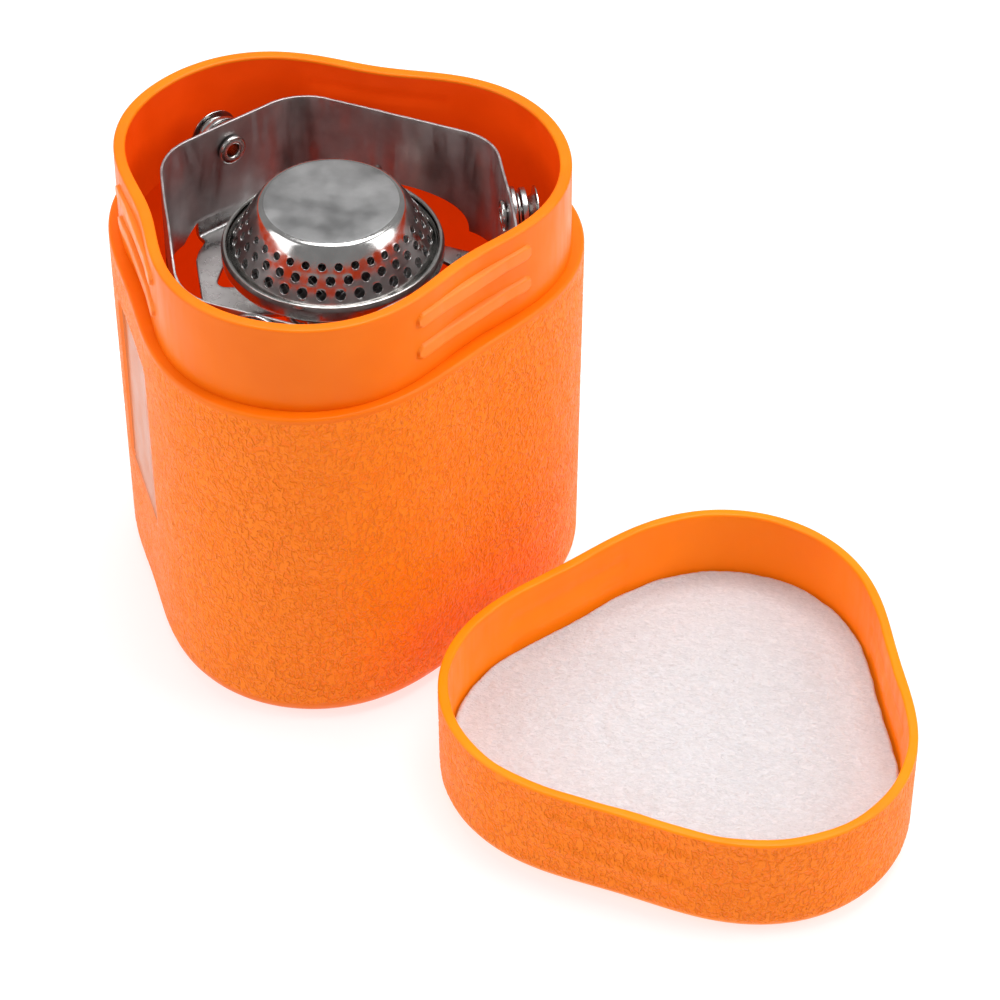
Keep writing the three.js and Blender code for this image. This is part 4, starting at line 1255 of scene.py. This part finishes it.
def igniter():
    out = sum(reach_of("igniter_button", IGNITER_SIDE)) / 2
    at = Matrix.Translation((0, out, 0))
    low, high = levels_of("igniter_body")
    half = reach_of("igniter_body", IGNITER_SIDE)[1] - out
    square = rounded([(-half, -half), (half, -half), (half, half), (-half, half)], 1.2, 6)
    block = moved(sheet(square, [], high - low, 0.5, 3), Matrix.Translation((0, 0, low)))
    make_on_stove("igniter_body", moved(block, at))
    low, high = levels_of("igniter_button")
    button = turned([(0, low), (3.6, low, 0.5), (4.2, low + 0.6, 0.5), (4.2, low + 2.5, 0.3),
                     (3.2, low + 2.5), (3.2, high), (0, high)], 0.1, 64)
    make_on_stove("igniter_button", moved(button, at))
    low, high = levels_of("igniter_screw")
    head = span("hub_nut")[0].z
    screw = turned([(0, low), (1.3, low), (1.3, head), (2.7, head), (2.2, high, 0.8), (0, high)],
                   0.2, 48)
    make_on_stove("igniter_screw", moved(screw, at))


def electrode():
    out = sum(reach_of("electrode_insulator", IGNITER_SIDE)) / 2
    at = Matrix.Translation((0, out, 0))
    low, high = levels_of("electrode_insulator")
    tube = turned([(0.9, low), (2, low), (2, high, 0.9), (0.9, high)], 0.3, 48)
    make_on_stove("electrode_insulator", moved(tube, at))
    tip = levels_of("electrode")[1] - 0.55
    rod = [(0, out, low + 1), (0, out, high), (0, out, 90), (0, out - 0.8, 91.6), (0, out - 2.6, tip)]
    make_on_stove("electrode", wire(rod, 0.55))
    clip_low, clip_high = levels_of("electrode_clip")
    clip = turned([(2.3, clip_low), (3.9, clip_low), (3.9, clip_high), (2.3, clip_high)], 0.25, 48)
    make_on_stove("electrode_clip", moved(clip, at))
    face = reach_of("igniter_lead", IGNITER_SIDE)[0]
    lead = [(0, out, low - 0.3), (0, out + 0.3, 62), (0, out + 1.2, 57), (0, out + 0.2, 52.6),
            (0, face + 2, 51), (0, face, 51)]
    make_on_stove("igniter_lead", wire(lead, 0.8))


case_body()
lid_shell()
foam_pad()
burner()
windshield()
spider_bracket()
arms()
canister_collar()
valve()
wire_handle()
mixer_tube()
gas_jet_and_nut()
igniter()
electrode()


# ---------------------------------------------------------------- floor, light and camera
def add_floor():
    mesh = bpy.data.meshes.new("floor")
    size = 20.0
    corners = [(-size, -size, 0), (size, -size, 0), (size, size, 0), (-size, size, 0)]
    mesh.from_pydata(corners, [], [(0, 1, 2, 3)])
    floor = bpy.data.objects.new("floor", mesh)
    bpy.context.scene.collection.objects.link(floor)
    floor.location.z = cad_box[0][2] - 0.0002
    material, _, shader = plain("floor_white", (0.4, 0.4, 0.4), 0.9, specular=0.1)
    glowing(shader, (1, 1, 1), 0.68)
    mesh.materials.append(material)


def softbox(name, place, aim, width, height, power):
    light = bpy.data.lights.new(name, "AREA")
    light.shape = "RECTANGLE"
    light.size = width
    light.size_y = height
    light.energy = power
    lamp = bpy.data.objects.new(name, light)
    lamp.location = place
    lamp.rotation_euler = (Vector(aim) - Vector(place)).to_track_quat("-Z", "Y").to_euler()
    bpy.context.scene.collection.objects.link(lamp)


def add_light():
    world = bpy.data.worlds.new("studio")
    world.use_nodes = True
    background = world.node_tree.nodes["Background"]
    background.inputs["Color"].default_value = (1, 1, 1, 1)
    background.inputs["Strength"].default_value = 0.38
    bpy.context.scene.world = world
    softbox("left", (-1.0, -0.5, 0.7), (0, 0, 0.05), 0.8, 0.9, 6.5)
    softbox("right", (1.2, 0.1, 0.8), (0.05, 0, 0.05), 0.8, 0.9, 9)
    softbox("top", (0.1, 0.3, 1.4), (0.03, 0, 0), 1.0, 0.8, 19)


CAMERA_AZIMUTH = math.radians(13.7)
CAMERA_ELEVATION = math.radians(41.7)
CAMERA_DISTANCE = 0.9
CAMERA_TARGET = Vector((0.0299, 0.0259, 0))
CAMERA_LENS = 142.2  # on a 36 mm sensor


def add_camera():
    camera = bpy.data.cameras.new("camera")
    camera.lens = CAMERA_LENS
    camera.sensor_width = 36
    camera.clip_start = 0.01
    holder = bpy.data.objects.new("camera", camera)
    level = math.cos(CAMERA_ELEVATION)
    away = Vector((math.sin(CAMERA_AZIMUTH) * level, -math.cos(CAMERA_AZIMUTH) * level,
                   math.sin(CAMERA_ELEVATION)))
    holder.location = CAMERA_TARGET + away * CAMERA_DISTANCE
    holder.rotation_euler = (-away).to_track_quat("-Z", "Y").to_euler()
    bpy.context.scene.collection.objects.link(holder)
    bpy.context.scene.camera = holder


add_floor()
add_light()
add_camera()
bpy.context.scene.view_settings.view_transform = "Standard"
